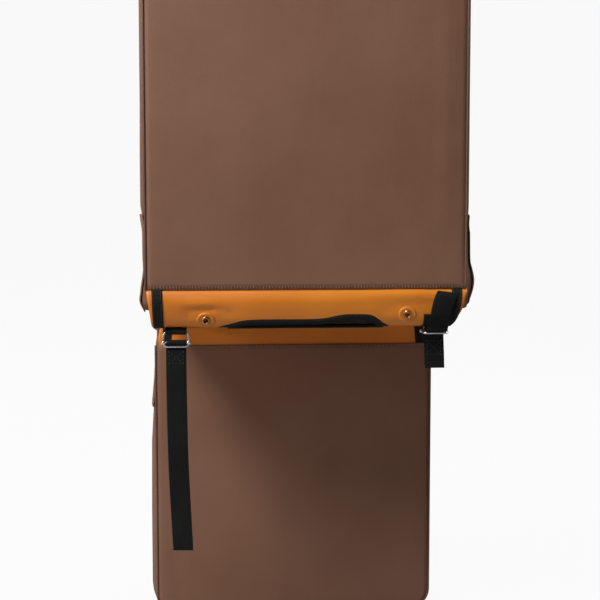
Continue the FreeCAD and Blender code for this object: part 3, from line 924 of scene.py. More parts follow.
lid = {
    "half": 0.1540,
    "flat": (0.308, 0.287),
    "earFlat": (0.128, 0.091),
    # half width at the hinge on each side, and where it widens to the lid's own
    "hingeHalf": {("near", 1): 0.1520, ("near", -1): 0.1470, **dict.fromkeys(farSides, 0.1500)},
    "widening": (0.003, 0.016),
    "crown": 0.0016,
    "edgeDrop": 0.0034,
    "edgeRound": 0.011,
    # how deep the top reaches before it bends down the front
    "topEnd": 0.131,
    "topDrop": 0.02,
    # where the top's crown and rounded edge and the flap's lie on the bag come in and go out
    "crownIn": (0.006, 0.03),
    "crownOut": 0.02,
    "edgeOut": 0.01,
    "flapIn": (0.007, 0.02),
    # where the cloth bends from the bag to the lid
    "bend": (0.0032, 0.0085),
    "flapCurl": 0.0013,
    "curlIn": (0.118, 0.03),
    "curlWave": 40,
    "curlBack": -0.0004,
    "flapGap": 0.0022,
    "cornerRadius": 0.028,
    "earCorner": 0.018,
    "earFront": 0.1322,
    "earColumns": 30,
    "earThin": 0.8,
    "earOverlap": 0.0004,
    "thickness": 0.0015,
    "columns": 64,
    "step": 0.0050,
    "earGap": 0.0019,
    "weltRadius": 0.0012,
    # the welt lies this far out of the cloth's edge
    "weltShift": (0.0004, -0.0004, -0.0008),
    "hemRun": 0.0045,
    "hemStart": 0.014,
    "hemEnd": 0.004,
    # from the hinge lap over the top and down the front, as (depth, height over the hinge) pairs
    "profile": [
        (0.0031, -0.0131), (0.0031, -0.0041), (0.0044, 0.0002), (0.0100, 0.0018), (0.0400, 0.0030),
        (0.0850, 0.0032), (0.1170, 0.0018), (0.1288, -0.0016), (0.1330, -0.0096), (0.1334, -0.0231),
        (0.1334, -0.0731), (0.1334, -0.1492),
    ],
}
flapPlace = lid["profile"][-1][0]


def lidHalf(side, sign, y):
    atHinge = lid["hingeHalf"][side, sign]
    start, run = lid["widening"]
    return atHinge + (lid["half"] - atHinge) * smoothStep((y - start) / run)


def lidPoint(share, y, z, half, phase):
    # a point of the lid's cloth, share of the way out to one side
    x = share * half
    if z > hingeHeight - lid["topDrop"] and y < flapPlace + 0.0001:
        start, run = lid["crownIn"]
        level = smoothStep((y - start) / run) * smoothStep((lid["topEnd"] - y) / lid["crownOut"])
        z = z + lid["crown"] * (1 - (x / lid["half"]) ** 2) * level
        edge = smoothStep((abs(x) - half + lid["edgeRound"]) / lid["edgeRound"])
        z = z - lid["edgeDrop"] * edge * smoothStep((lid["topEnd"] - y) / lid["edgeOut"])
    start, run = lid["flapIn"]
    down = smoothStep((hingeHeight - start - z) / run) if y > 0.1 else 0
    y = y + (frontOut(x / shellHalf, z, phase) + lid["flapGap"]) * down
    start, run = lid["curlIn"]
    curl = lid["flapCurl"] * smoothStep((hingeHeight - start - z) / run)
    return x, y + max(curl * math.cos(x * lid["curlWave"] + phase), lid["curlBack"]), z


def buildLid(side, phase):
    profile = smoothLine([(y, hingeHeight + z) for y, z in lid["profile"]], lid["step"])
    run = lengths(profile)
    radius = lid["cornerRadius"]
    short = np.clip(radius - (run[-1] - run), 0, None)  # how far into the rounded corners
    inset = radius - np.sqrt(np.clip(radius**2 - short**2, 0, None))
    inset[-1] = radius
    across = np.linspace(-1, 1, lid["columns"] + 1)
    # closer together near the sides
    across = np.sign(across) * (1 - (1 - np.abs(across)) ** 1.25)

    def place(row, share):
        (y, z), inward, along = row
        half = lidHalf(side, 1 if share > 0 else -1, y) - inward
        return lidPoint(share, y, z, half, phase), (half * share, along)

    part = gridPart(list(zip(profile, inset, run)), across, place)
    outward = (placed(side, (0, 0.07, hingeHeight + 0.003)), (0, 0, -1 if side == "near" else 1))
    start, end = placed(side, [(0, y, hingeHeight) for y in lid["bend"]])
    bend = (f"{side}_bag", f"{side}_lid", tuple(start), tuple(end))
    cloth = addPiece(f"{side}LidCloth", inBag(side, [part]), brownCloth, "tarpaulin_brown", bend,
                     f"{side}_lid_panel", f"{side}_lid_welt",
                     outward=outward, thickness=lid["thickness"], offset=-1)
    for sign, word in ((-1, "left"), (1, "right")):
        buildEar(side, sign, word)
    buildLidEdges(side, phase, profile, inset)


def earPoint(side, sign, y, height, lift=0.0):
    depth = (y - backPlace) / (frontPlace - backPlace)
    gap = lid["earGap"] * (0.55 + 0.45 * smoothStep(depth / 0.12))
    out = shellHalf + bulgeOut(side, height, depth) + flareOut(side, sign, height, depth) + gap
    return sign * out + sign * lift, y, height


def buildEar(side, sign, word):
    low, high = earBox[0].z, hingeHeight + lid["earOverlap"]
    back, front = earBox[0].y, lid["earFront"]
    radius = lid["earCorner"]
    bottom = low + radius
    heights = list(np.linspace(high, bottom, 22)[:-1])
    heights += [bottom - z for _, z in arc(radius, 0, math.pi / 2, 9)]

    def place(height, share):
        inset = 0.0
        if height < bottom:
            inset = radius - math.sqrt(max(radius**2 - (bottom - height) ** 2, 0))
        y = back + inset + (front - back - inset) * share
        return earPoint(side, sign, y, height), (y, height)

    part = gridPart(heights, np.linspace(0, 1, lid["earColumns"]) ** 1.3, place)
    name = f"{side}Lid{word.capitalize()}Ear"
    outward = tuple(placed(side, (sign, 0, 0)) - placed(side, (0, 0, 0)))
    ear = addPiece(name, inBag(side, [part]), brownCloth, "tarpaulin_brown",
                   f"{side}_lid", f"{side}_lid_{word}_ear",
                   outward=(placed(side, (sign * 0.156, 0.06, -0.06)), outward),
                   thickness=lid["thickness"] * lid["earThin"])

    # a line of stitches inside the ear's free edges
    inner = lid["hemRun"]
    hem = [(back + inner, height)
           for height in np.linspace(hingeHeight - lid["hemStart"], bottom, 16)[:-1]]
    hem += [(back + radius - y, bottom - z) for y, z in arc(radius - inner, 0, math.pi / 2, 8)]
    hem += [(y, low + inner) for y in np.linspace(back + radius, front - lid["hemEnd"], 22)[1:]]
    line = [earPoint(side, sign, y, height, lid["thickness"] * 0.42) for y, height in hem]
    stitched(f"{name}Stitches", [(placed(side, line), outward)], brownThread, fineStitch,
             "tarpaulin_brown", f"{side}_lid")


def buildLidEdges(side, phase, profile, inset):
    # welted side seams from the hinge forwards and down to the ears' lower edge, then a hem
    parts, hems = [], []
    for sign in (-1, 1):
        line, hem = [], []
        for (y, z), inward in zip(profile, inset):
            if y < 0.0034:
                continue
            half = lidHalf(side, sign, y) - inward
            if z > earBox[0].z + 0.001:
                shift = np.array(lid["weltShift"]) * (sign, 1, 1)
                line.append(np.array(lidPoint(sign, y, z, half, phase)) + shift)
            if z < hingeHeight - 0.03:
                hem.append(lidPoint(sign * (1 - lid["hemRun"] / half), y, z, half, phase))
        line = placed(side, smoothLine(line, 0.004))
        parts.append(rod(line, lid["weltRadius"], 10, hint=(1, 0, 0)))
        hems.append(hem)
    (y, z), half = profile[-1], lid["half"] - lid["cornerRadius"]
    under = [lidPoint(share, y, z + lid["hemRun"], half, phase)
             for share in np.linspace(-1, 1, 50)]
    left, right = ([p for p in hem if p[2] > z + 1.2 * lid["hemRun"]] for hem in hems)
    hem = np.array(left + under + right[::-1]) + (0, 0.0001, 0)
    addPiece(f"{side}LidWelts", parts, pipingCloth, "tarpaulin_brown", f"{side}_lid")
    stitched(f"{side}FlapStitches", [(placed(side, hem), (0, 1, 0))], brownThread, runningStitch,
             "tarpaulin_brown", f"{side}_lid")


# ---- the orange cloth: hanger strips that bend over the folds, and the bridge between them

cloth = {
    "thickness": 0.0016,
    "flat": (0.304, 0.084),
    "area": 0.0184,
    "columns": 30,
    "rows": 42,
    "tabRows": 14,
    "holeRadius": 0.0026,
    "lap": 0.012,
    "tabStart": 0.041,
    "tabEnd": 0.072,
    # where the hand hole ends on each side
    "hole": {("near", -1): 0.0820, ("near", 1): 0.0768, **dict.fromkeys(farSides, 0.082)},
    # half width on each side against the run from the seam
    "half": {
        ("near", -1): [(0, 0.1518), (0.012, 0.1500), (0.024, 0.1480), (0.036, 0.1466),
                       (0.046, 0.1455), (0.060, 0.1428), (0.072, 0.142)],
        ("near", 1): [(0, 0.1533), (0.005, 0.1525), (0.010, 0.1508), (0.016, 0.1494),
                      (0.022, 0.1474), (0.029, 0.1437), (0.037, 0.1392), (0.046, 0.1390),
                      (0.060, 0.1415), (0.072, 0.142)],
        **dict.fromkeys(farSides, [(0, 0.1508), (0.036, 0.1435), (0.060, 0.142), (0.072, 0.142)]),
    },
}
# each side's run from the lap over the seam and the fold to the middle, from its fold line
clothRun = {
    "near": [(0.0, 0.050), (0.0, 0.036), (-0.0028, 0.0315), (-0.0046, 0.0255), (-0.0044, 0.0190),
             (-0.0030, 0.0120), (-0.0004, 0.0052), (0.0040, 0.0010), (0.0110, 0.0), (0.022, 0.0),
             (0.034, 0.0), (0.040, 0.0)],
    "far": [(0.0, -0.050), (0.0, -0.036), (0.0006, -0.027), (0.0013, -0.016), (0.0012, -0.008),
            (-0.0008, -0.0020), (-0.0050, 0.0002), (-0.013, 0.0), (-0.022, 0.0), (-0.034, 0.0),
            (-0.040, 0.0)],
}
# the hand hole's edge, as (place across, run from the seam) pairs
gripEdge = {
    "near": [(-0.0820, 0.041), (-0.0775, 0.0393), (-0.0703, 0.0366), (-0.0603, 0.0338),
             (-0.0451, 0.0328), (-0.0200, 0.0328), (0.0050, 0.0327), (0.0180, 0.0316),
             (0.0290, 0.0292), (0.0380, 0.0281), (0.0537, 0.0282), (0.0605, 0.0293),
             (0.0662, 0.0328), (0.0715, 0.0375), (0.0768, 0.041)],
    "far": [(-0.082, 0.041), (-0.078, 0.0355), (-0.072, 0.0312), (-0.064, 0.0296), (-0.040, 0.0292),
            (0.0, 0.0294), (0.040, 0.0292), (0.064, 0.0296), (0.072, 0.0312), (0.078, 0.0355),
            (0.082, 0.041)],
}
# soft dents and swells: place across, run, spread across, spread along, height
clothSwells = {
    "near": [(-0.097, 0.0205, 0.013, 0.0030, -0.0019), (-0.104, 0.0150, 0.020, 0.0042, 0.0009),
             (-0.112, 0.0250, 0.006, 0.0060, -0.0008), (-0.074, 0.0235, 0.010, 0.0045, -0.0008),
             (0.100, 0.0072, 0.034, 0.0048, 0.0014), (0.096, 0.0170, 0.026, 0.0060, -0.0010),
             (0.116, 0.0190, 0.009, 0.0120, -0.0012), (0.074, 0.0230, 0.010, 0.0050, -0.0007),
             (0.0, 0.0120, 0.055, 0.0075, 0.0006), (0.058, 0.0150, 0.020, 0.0060, -0.0005)],
    "far": [(-0.080, 0.012, 0.025, 0.008, 0.0008), (0.070, 0.014, 0.025, 0.008, -0.0007)],
}
clothLine = {}
for side, controls in clothRun.items():
    fine = smoothLine(controls, 0.0004)
    seamAt = np.argmin(np.abs(fine[:, 1] - controls[1][1]) + np.abs(fine[:, 0]))
    run = lengths(fine)
    way = tangents(fine)
    sign = 1 if side == "near" else -1
    normals = np.stack([way[:, 1] * sign, -way[:, 0] * sign], axis=1)
    clothLine[side] = (run - run[seamAt], fine, normals)


def clothPoint(side, across, run, lift=0.0):
    # a point of the cloth, or off it on the side that faces the rack when the bag hangs
    marks, line, normals = clothLine[side]
    across, run = np.asarray(across, float), np.asarray(run, float)
    swell = sum(height * np.exp(-((across - x) / wide) ** 2 - ((run - v) / tall) ** 2)
                for x, v, wide, tall, height in clothSwells[side])
    out = lift + swell
    y = np.interp(run, marks, line[:, 0]) + out * np.interp(run, marks, normals[:, 0])
    z = np.interp(run, marks, line[:, 1]) + out * np.interp(run, marks, normals[:, 1])
    return np.stack([across + 0 * run, y + foldPlace[side].y, z + foldPlace[side].z], axis=-1)


def clothFacing(side, across, run):
    return unit(clothPoint(side, across, run, 0.001) - clothPoint(side, across, run))


def clothHalf(side, sign, run):
    return readOff(cloth["half"][side, sign], run)


# the two bodies that meet at each fold, and where the bend starts and ends
foldBend = {
    "near": ("root", "near_bag", (0, -0.0745, 0.0010), (0, -0.0820, 0.0120)),
    "far": ("root", "far_bag", (0, 0.0750, 0.0030), (0, 0.0815, -0.0080)),
}


def sideOf(line):
    way = tangents(line)
    return np.stack([-way[:, 1], way[:, 0]], axis=1)


def clothBand(side, line, section):
    # a section carried along a line drawn on the cloth; line: (across, run), section: (aside, lift)
    line, section = np.asarray(line, float), np.asarray(section, float)
    places = line[:, None] + section[None, :, :1] * sideOf(line)[:, None]
    rings = clothPoint(side, places[..., 0], places[..., 1], section[None, :, 1])
    return tube(rings, section, line)


def clothSeam(side, places, lift):
    # stitches along (across, run) places on the cloth
    return (clothPoint(side, places[:, 0], places[:, 1], lift),
            clothFacing(side, places[:, 0], places[:, 1]))


def buildHanger(side):
    edge = smoothLine(gripEdge[side], 0.002)
    columns = cloth["columns"]
    # how far each column outside the hole stands from the hole's end to the strip's edge
    shares = np.linspace(0, 1, columns)

    def outer(sign, run):
        hole = cloth["hole"][side, sign]
        return sign * (hole + (clothHalf(side, sign, run) - hole) * shares)

    aside = np.full(columns, cloth["tabStart"])
    ends = np.concatenate([aside, edge[1:-1, 1], aside])
    steps = np.linspace(0, 1, cloth["rows"])
    points, uvs = [], []
    for step in steps:
        run = -cloth["lap"] + (ends + cloth["lap"]) * step
        x = np.concatenate([outer(-1, run[0])[::-1], edge[1:-1, 0], outer(1, run[-1])])
        points += list(clothPoint(side, x, run))
        uvs += list(zip(x, run))
    parts = [(points, gridFaces(len(steps), len(ends)), uvs)]
    runs = np.linspace(cloth["tabStart"], cloth["tabEnd"], cloth["tabRows"])
    for sign in (-1, 1):
        points, uvs = [], []
        for run in runs:
            x = outer(sign, run)
            points += list(clothPoint(side, x, np.full(columns, run)))
            uvs += [(place, run) for place in x]
        parts.append((points, gridFaces(len(runs), columns), uvs))
    strip = tidied(joined(f"{side}HangerCloth", parts, orangeCloth),
                   (clothPoint(side, 0.0, 0.012), (0, -1, 0)))
    thickened(strip, cloth["thickness"])
    punched(strip, [(clothPoint(side, *place), clothFacing(side, *place))
                    for place in eyeletPlaces(side)], cloth["holeRadius"])
    attached(strip, "tarpaulin_orange", foldBend[side],
             f"{side}_hanger_strip", f"{side}_fold_bands", "fold_welts")
    buildGripBinding(side, edge)
    buildEdgeTapes(side)
    buildPatches(side)


grip = {"width": 0.0046, "overlap": 0.0026, "thickness": 0.0029, "start": 0.060, "seam": -0.0008,
        "flatness": 0.30, "surfaceWidth": 0.01}


def buildGripBinding(side, edge):
    start, end = grip["start"], cloth["tabStart"]
    left = [(-cloth["hole"][side, -1], run) for run in np.linspace(start, end, 8)[:-1]]
    right = [(cloth["hole"][side, 1], run) for run in np.linspace(end, start, 8)[1:]]
    line = smoothLine(np.array(left + list(edge) + right)[::2], 0.0025)
    sideways = sideOf(line)
    shape = np.array(roundedBar(1.0, grip["flatness"]))
    span = grip["width"] + grip["overlap"]
    aside = (shape[None, :, :1] + 0.5) * span - grip["overlap"]
    places = line[:, None] + aside * sideways[:, None]
    lift = shape[None, :, 1] / grip["flatness"] * grip["thickness"]
    rings = clothPoint(side, places[..., 0], places[..., 1], lift)
    addPiece(f"{side}GripBinding", [tube(rings, shape * grip["surfaceWidth"], line)], blackTape,
             "webbing_black", foldBend[side], f"{side}_grip_binding")
    seam = clothSeam(side, line + sideways * grip["seam"], grip["thickness"] / 2 + 0.0001)
    stitched(f"{side}GripStitches", [seam], blackThread, fineStitch,
             "webbing_black", foldBend[side])


tape = {
    "width": 0.0098, "thickness": 0.0011, "top": 0.0005, "end": 0.050, "seam": 0.0036,
    # where its middle lies on each side against the run from the seam
    "place": {
        ("near", -1): [(0, 0.1414), (0.036, 0.1400), (0.050, 0.1396)],
        ("near", 1): [(0, 0.1430), (0.010, 0.1420), (0.016, 0.1412), (0.022, 0.1408),
                      (0.029, 0.1386), (0.037, 0.1343), (0.050, 0.1336)],
        **dict.fromkeys(farSides, [(0, 0.1400), (0.036, 0.1372)]),
    },
}


def buildEdgeTapes(side):
    top = cloth["thickness"] / 2
    section = [(a, b + top + tape["thickness"] * 0.45)
               for a, b in roundedBar(tape["width"], tape["thickness"])]
    runs = np.linspace(tape["top"], tape["end"], 34)
    parts, seams = [], []
    for sign in (-1, 1):
        middle = sign * readOff(tape["place"][side, sign], runs)
        line = smoothLine(np.stack([middle, runs], axis=1)[::3], 0.0015)
        parts.append(clothBand(side, line, section))
        for aside in (-tape["seam"], tape["seam"]):
            seams.append(clothSeam(side, line + (aside, 0), top + tape["thickness"] * 0.98))
    addPiece(f"{side}EdgeTapes", parts, blackTape, "webbing_black", foldBend[side],
             f"{side}_edge_tapes")
    stitched(f"{side}TapeStitches", seams, blackThread, fineStitch,
             "webbing_black", foldBend[side])


patch = {"half": 0.0088, "tall": 0.0076, "lift": 0.0005, "rim": 0.0004, "steps": 40, "seam": 0.77}
eyelet = {"radius": 0.0044, "furthest": 0.045,
          # the near strip is pulled a little out of square: across and along, on each side
          "pulled": [(-0.0009, 0.0024), (0.0, -0.0022)]}
eyeletProfile = [
    (0.00225, -0.0024), (0.00225, 0.0004), (0.0024, 0.0009), (0.0029, 0.0012), (0.0036, 0.0011),
    (0.0041, 0.0007), (0.0043, 0.0002), (0.0043, -0.0001), (0.0030, -0.0001), (0.0028, -0.0004),
    (0.0028, -0.0021), (0.0042, -0.0021), (0.0042, -0.0025), (0.0030, -0.0028),
]


def eyeletPlaces(side):
    low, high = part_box(f"{side}_eyelets")
    level = (low.z + high.z) / 2
    reach = high.x - eyelet["radius"]
    marks, line, _ = clothLine[side]
    # the run at that height, on the part of the strip near its seam
    beyond = np.abs(marks) > eyelet["furthest"]
    run = marks[np.argmin(np.abs(line[:, 1] + foldPlace[side].z - level) + 1e3 * beyond)]
    pulled = eyelet["pulled"] if side == "near" else [(0.0, 0.0)] * 2
    return [(sign * reach + across, run + along) for sign, (across, along) in zip((-1, 1), pulled)]


def buildPatches(side):
    base, lift, rim = cloth["thickness"] / 2, patch["lift"], patch["rim"]
    shape = [(0.34, base - 0.0004), (0.34, base + lift), (0.55, base + lift),
             (0.72, base + lift * 1.05), (0.84, base + lift + rim), (0.93, base + lift * 0.9),
             (1.0, base + 0.0001), (1.0, base - 0.0004)]
    angles = np.linspace(0, math.tau, patch["steps"], endpoint=False)
    parts, rings, seams = [], [], []
    for x, run in eyeletPlaces(side):

        def around(angle, share):
            return (x + share * patch["half"] * math.cos(angle),
                    run + share * patch["tall"] * math.sin(angle))

        points, uvs = [], []
        for angle in angles:
            for share, height in shape:
                uvs.append(around(angle, share))
                points.append(clothPoint(side, *uvs[-1], height))
        parts.append((points, tubeFaces(len(angles), len(shape), looped=True), uvs))
        rings.append(lathe(eyeletProfile, clothPoint(side, x, run, base + lift),
                           clothFacing(side, x, run)))
        loop = np.array([around(a, patch["seam"]) for a in np.linspace(0, math.tau, 49)])
        seams.append(clothSeam(side, loop, base + lift * 1.15))
    addPiece(f"{side}EyeletPatches", parts, orangeCloth, "tarpaulin_orange",
             f"{side}_bag", f"{side}_eyelet_patches")
    addPiece(f"{side}Eyelets", rings, eyeletMetal, "eyelet_metal",
             f"{side}_bag", f"{side}_eyelets")
    stitched(f"{side}PatchStitches", seams, orangeThread, fineStitch,
             "tarpaulin_orange", f"{side}_bag")


bridge = {"thickness": 0.0020, "wave": 0.0002, "bindingWidth": 0.0105, "bindingThickness": 0.0030,
          "seam": 0.0035,
          # the stitched boxes that hold the folded bands: across, and runs from the seam
          "bandAcross": (0.0855, 0.1385), "bandRuns": (0.0615, 0.0685)}


def buildBridge():
    low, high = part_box("bridge_panel")
    xs, ys = np.linspace(low.x, high.x, 60), np.linspace(low.y, high.y, 28)
    level = (low.z + high.z) / 2

    def place(y, x):
        lift = bridge["wave"] * math.sin(x * 37 + y * 22) * math.cos(y * 41)
        return (x, y, level + lift), (x, y)

    part = gridPart(ys, xs, place)
    panel = addPiece("bridgeCloth", [part], orangeCloth, "tarpaulin_orange", "root",
                     "bridge_panel", outward=((0, 0, level), (0, 0, 1)),
                     thickness=bridge["thickness"])
    low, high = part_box("bridge_grip_bindings")
    width, thick = bridge["bindingWidth"], bridge["bindingThickness"]
    parts, seams = [], []
    for sign in (-1, 1):
        place = sign * (high.y - width / 2 + 0.0005)
        line = np.array([(x, place, level) for x in np.linspace(low.x, high.x, 40)])
        parts.append(ribbon(line, (0, 1, 0), width, thick))
        seam = line + (0, -sign * bridge["seam"], thick / 2 + 0.0001)
        seams.append((seam, (0, 0, 1)))
        seams.append((seam * (1, 1, -1) + (0, 0, 2 * level), (0, 0, -1)))
    addPiece("bridgeGripBindings", parts, blackTape, "webbing_black", "root",
             "bridge_grip_bindings")
    stitched("bridgeBindingStitches", seams, blackThread, fineStitch, "webbing_black", "root")

    under = -cloth["thickness"] / 2 - 0.0001
    across, runs = bridge["bandAcross"], bridge["bandRuns"]
    seams = []
    for side in ("near", "far"):
        for sign in (-1, 1):
            lines = [(sign * np.linspace(*across, 24), np.full(24, run)) for run in runs]
            lines += [(np.full(6, sign * x), np.linspace(*runs, 6)) for x in across]
            seams += [(clothPoint(side, *line, under), (0, 0, 1)) for line in lines]
    stitched("bandStitches", seams, orangeThread, runningStitch, "tarpaulin_orange", "root")


# ---- buckles and webbing

leftWire = Vector(joints["left_buckle_swing"]["pos_m"])
leftBar = Vector(joints["left_strap_swing"]["pos_m"])
# the right upper wire hangs a little lower than its solid, so that it shows under the strap;
# the bar stays on the axis that its tail swings about
rightDrop = Vector((0, 0, -0.0031))
rightBar = Vector(joints["right_strap_swing"]["pos_m"])
rightWire = Vector((rightBar.x, leftWire.y, leftWire.z)) + rightDrop
buckle = {"wire": 0.0011, "bar": 0.0013, "upperCorner": 0.0036, "lowerCorner": 0.0042,
          "shorter": 0.0009, "barGap": 0.0012,
          "knob": [(0.0004, -0.0020), (0.0013, -0.0019), (0.0019, -0.0014), (0.0021, -0.0006),
                   (0.0021, 0.0006), (0.0019, 0.0014), (0.0013, 0.0019), (0.0004, 0.0020)]}
webbing = {"width": 0.020, "thickness": 0.0012, "tailTrim": 0.0008}


def buildBuckle(word, wire, bar, frameBody, barBody):
    down = np.array((bar - wire).normalized())
    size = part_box("left_buckle_frame")
    half = (size[1].x - size[0].x) / 2 - buckle["wire"]
    tall = size[1].z - size[0].z - 2 * buckle["wire"] - buckle["shorter"]
    line = []
    upper, lower = buckle["upperCorner"], buckle["lowerCorner"]
    for cx, cz, radius, start in ((half, 0, upper, 90), (half, tall, lower, 0),
                                  (-half, tall, lower, -90), (-half, 0, upper, -180)):
        centre = (cx - math.copysign(radius, cx), radius if cz == 0 else tall - radius)
        for turn in np.linspace(start, start - 90, 9):
            a = math.radians(turn)
            line.append((centre[0] + radius * math.cos(a), centre[1] - radius * math.sin(a)))
    # points along the straight stretches between the corners
    stretches = []
    for first, second in zip(np.array(line), np.roll(line, -1, axis=0)):
        spans = 4 if np.linalg.norm(first - second) > 0.003 else 1
        stretches.append(np.linspace(first, second, spans + 1)[:-1])
    line = np.vstack(stretches)
    points = np.array(wire) + line[:, :1] * (1, 0, 0) + line[:, 1:] * down
    facing = np.cross(down, (1, 0, 0))
    addPiece(f"{word}BuckleFrame", [rod(points, buckle["wire"], 14, True, facing)], wireSteel,
             "wire_steel", frameBody, f"{word}_buckle_frame")
    centre = np.array(bar)
    inner = half - buckle["barGap"]
    straight = np.array([centre + (x, 0, 0) for x in np.linspace(-inner, inner, 12)])
    knob = [(max(radius, 0.00001), height) for radius, height in buckle["knob"]]
    parts = [rod(straight, buckle["bar"], 14)]
    parts += [lathe(knob, centre + (sign * half, 0, 0), (1, 0, 0), 20) for sign in (-1, 1)]
    addPiece(f"{word}BuckleBar", parts, wireSteel, "wire_steel", barBody, f"{word}_buckle_bar")


# loops round the upper wire: (away from the rack, up) from the wire, from the tab to the inner end
anchorRun = [(0.0161, 0.00365), (0.008, 0.00365), (0.0028, 0.0036), (0.0004, 0.0031),
             (-0.0006, 0.0020), (-0.0016, 0.0011), (-0.0020, 0.0), (-0.0014, -0.0014),
             (0.0, -0.0020), (0.0014, -0.0014), (0.0020, 0.0), (0.0014, 0.0012), (0.0012, 0.0021),
             (0.0026, 0.00245), (0.007, 0.00245), (0.0112, 0.00245)]


def buildAnchor():
    line = smoothLine([(leftWire.x, leftWire.y + y, leftWire.z + z) for y, z in anchorRun], 0.0005)
    part = ribbon(line, (1, 0, 0), webbing["width"], webbing["thickness"] * 0.9)
    addPiece("leftAnchorLoop", [part], blackWebbing, "webbing_black", "root", "left_anchor_loop")


strapBox = {"half": 0.0065, "lift": 0.0007}


def strapStitches(name, body, centre, tall):
    # a sewn box with a cross in it, on the strap's front
    centre = np.array(centre)
    corners = [centre + (x * strapBox["half"], -strapBox["lift"], -y * tall)
               for x, y in ((-1, -1), (1, -1), (1, 1), (-1, 1))]
    pairs = [(i, (i + 1) % 4) for i in range(4)] + [(0, 2), (1, 3)]
    lines = [(np.linspace(corners[a], corners[b], 6), (0, -1, 0)) for a, b in pairs]
    stitched(name, lines, blackThread, fineStitch, "webbing_black", body)


leftTail = {
    # it twists a little below the sewn box: angle, start and turns, then the lean
    "twist": (0.12, 0.02, 22),
    "lean": (0.02, 30),
    # (away from the rack, up) from the bar, from the sewn end over the bar and down
    "wrap": [(0.0034, -0.0240), (0.0034, -0.0120), (0.0034, -0.0050), (0.0031, -0.0015),
             (0.0022, 0.0008), (0.0004, 0.0021), (-0.0014, 0.0016), (-0.0021, 0.0),
             (-0.0014, -0.0016), (0.0002, -0.0024), (0.0016, -0.0034), (0.0021, -0.0060),
             (0.0021, -0.0150)],
    "hang": [(0.0000, 0.0021, -0.0300), (0.0004, 0.0018, -0.0700), (0.0013, 0.0008, -0.1150),
             (0.0030, 0.0004, -0.1550), (0.0052, 0.0010, -0.2000)],
}


def buildLeftTail():
    points = [(0.0, y, z) for y, z in leftTail["wrap"]] + leftTail["hang"]
    line = smoothLine([tuple(leftBar + Vector(p)) for p in points], 0.0011)
    drop = leftBar.z - line[:, 2]
    angle, start, turns = leftTail["twist"]
    turn = angle * np.sin(np.clip(drop - start, 0, None) * turns)
    lean, leanTurns = leftTail["lean"]
    across = np.stack([np.cos(turn), np.sin(turn), lean * np.sin(drop * leanTurns)], axis=1)
    part = ribbon(line, across, webbing["width"] - webbing["tailTrim"], webbing["thickness"])
    addPiece("leftTail", [part], blackWebbing, "webbing_black", "left_strap", "left_tail")
    strapStitches("leftTailStitches", "left_strap", leftBar + Vector((0, 0.0021, -0.0145)), 0.0055)


rightTail = [(0.0010, -0.0340), (0.0009, -0.0200), (0.0010, -0.0060), (0.0018, -0.0022),
             (0.0022, 0.0), (0.0015, 0.0015), (0.0, 0.0021), (-0.0015, 0.0015), (-0.0022, 0.0),
             (-0.0018, -0.0022), (-0.0008, -0.0060), (-0.0005, -0.0200), (-0.0004, -0.0360)]


def buildRightTail():
    drift, start, end = 0.0012, -0.01, -0.036  # it hangs a little aslant
    line = smoothLine([(rightBar.x + drift * (z < start) * z / end, rightBar.y + y, rightBar.z + z)
                       for y, z in rightTail], 0.0011)
    part = ribbon(line, (1, 0, 0), webbing["width"] - webbing["tailTrim"], webbing["thickness"])
    addPiece("rightTail", [part], blackWebbing, "webbing_black", "right_strap", "right_tail")
    strapStitches("rightTailStitches", "right_strap",
                  rightBar + Vector((0, -0.0006, -0.016)), 0.0065)


rightStrap = {
    # on the cloth: (across, run from the seam, lift)
    "cloth": [(0.1338, 0.0060, 0.0026), (0.1312, 0.0104, 0.0032), (0.1291, 0.0155, 0.0036),
              (0.1277, 0.0215, 0.0036), (0.1271, 0.0280, 0.0034)],
    # then from the upper wire: (across, away from the rack, up)
    "wrap": [(0.0012, -0.0046, 0.0080), (0.0006, -0.0040, 0.0046), (0.0002, -0.0023, 0.0024),
             (0.0, 0.0004, 0.0020), (0.0, 0.0021, 0.0031), (0.0, 0.0036, 0.0051),
             (0.0, 0.0066, 0.0062), (0.0, 0.0161, 0.0062)],
    "width": 0.0205,
    "turn": 8.5,
    "cup": 0.0010,
    # the sewn end beside it: across, runs, lift, width
    "tabPlace": 0.1205,
    "tabRuns": (0.0265, 0.0460),
    "tabLift": 0.0014,
    "tabWidth": 0.0190,
    "tabThickness": 0.0011,
    # the turn and the cup fade over this part of its run
    "fade": (0.004, 0.030),
}


def buildRightStrap():
    controls = [tuple(clothPoint("near", x, run, lift)) for x, run, lift in rightStrap["cloth"]]
    controls += [tuple(rightWire + Vector(p)) for p in rightStrap["wrap"]]
    line = smoothLine(controls, 0.0009)
    start, fade = rightStrap["fade"]
    share = smoothStep((lengths(line) - start) / fade)
    turn = math.radians(rightStrap["turn"]) * (1 - share)
    across = unit(np.stack([np.cos(turn), 0 * turn, -np.sin(turn)], axis=1))
    up = unit(np.cross(tangents(line), across))
    section = np.array(roundedBar(rightStrap["width"], webbing["thickness"]))
    cup = rightStrap["cup"] * (1 - share[:, None]) * (section[None, :, 0] / 0.011) ** 2
    lift = section[None, :, 1] - cup
    rings = line[:, None] + section[None, :, :1] * across[:, None] + lift[..., None] * up[:, None]
    addPiece("rightStrap", [tube(rings, section, line)], blackWebbing, "webbing_black",
             foldBend["near"], "right_strap_upper")

    runs = np.linspace(*rightStrap["tabRuns"], 16)
    section = [(a, b + rightStrap["tabLift"])
               for a, b in roundedBar(rightStrap["tabWidth"], rightStrap["tabThickness"])]
    places = np.stack([np.full(len(runs), rightStrap["tabPlace"]), runs], axis=1)
    addPiece("rightAnchorTab", [clothBand("near", places, section)], blackWebbing, "webbing_black",
             foldBend["near"], "right_anchor_loop")


# ---- snaps on the front wall and under the flap

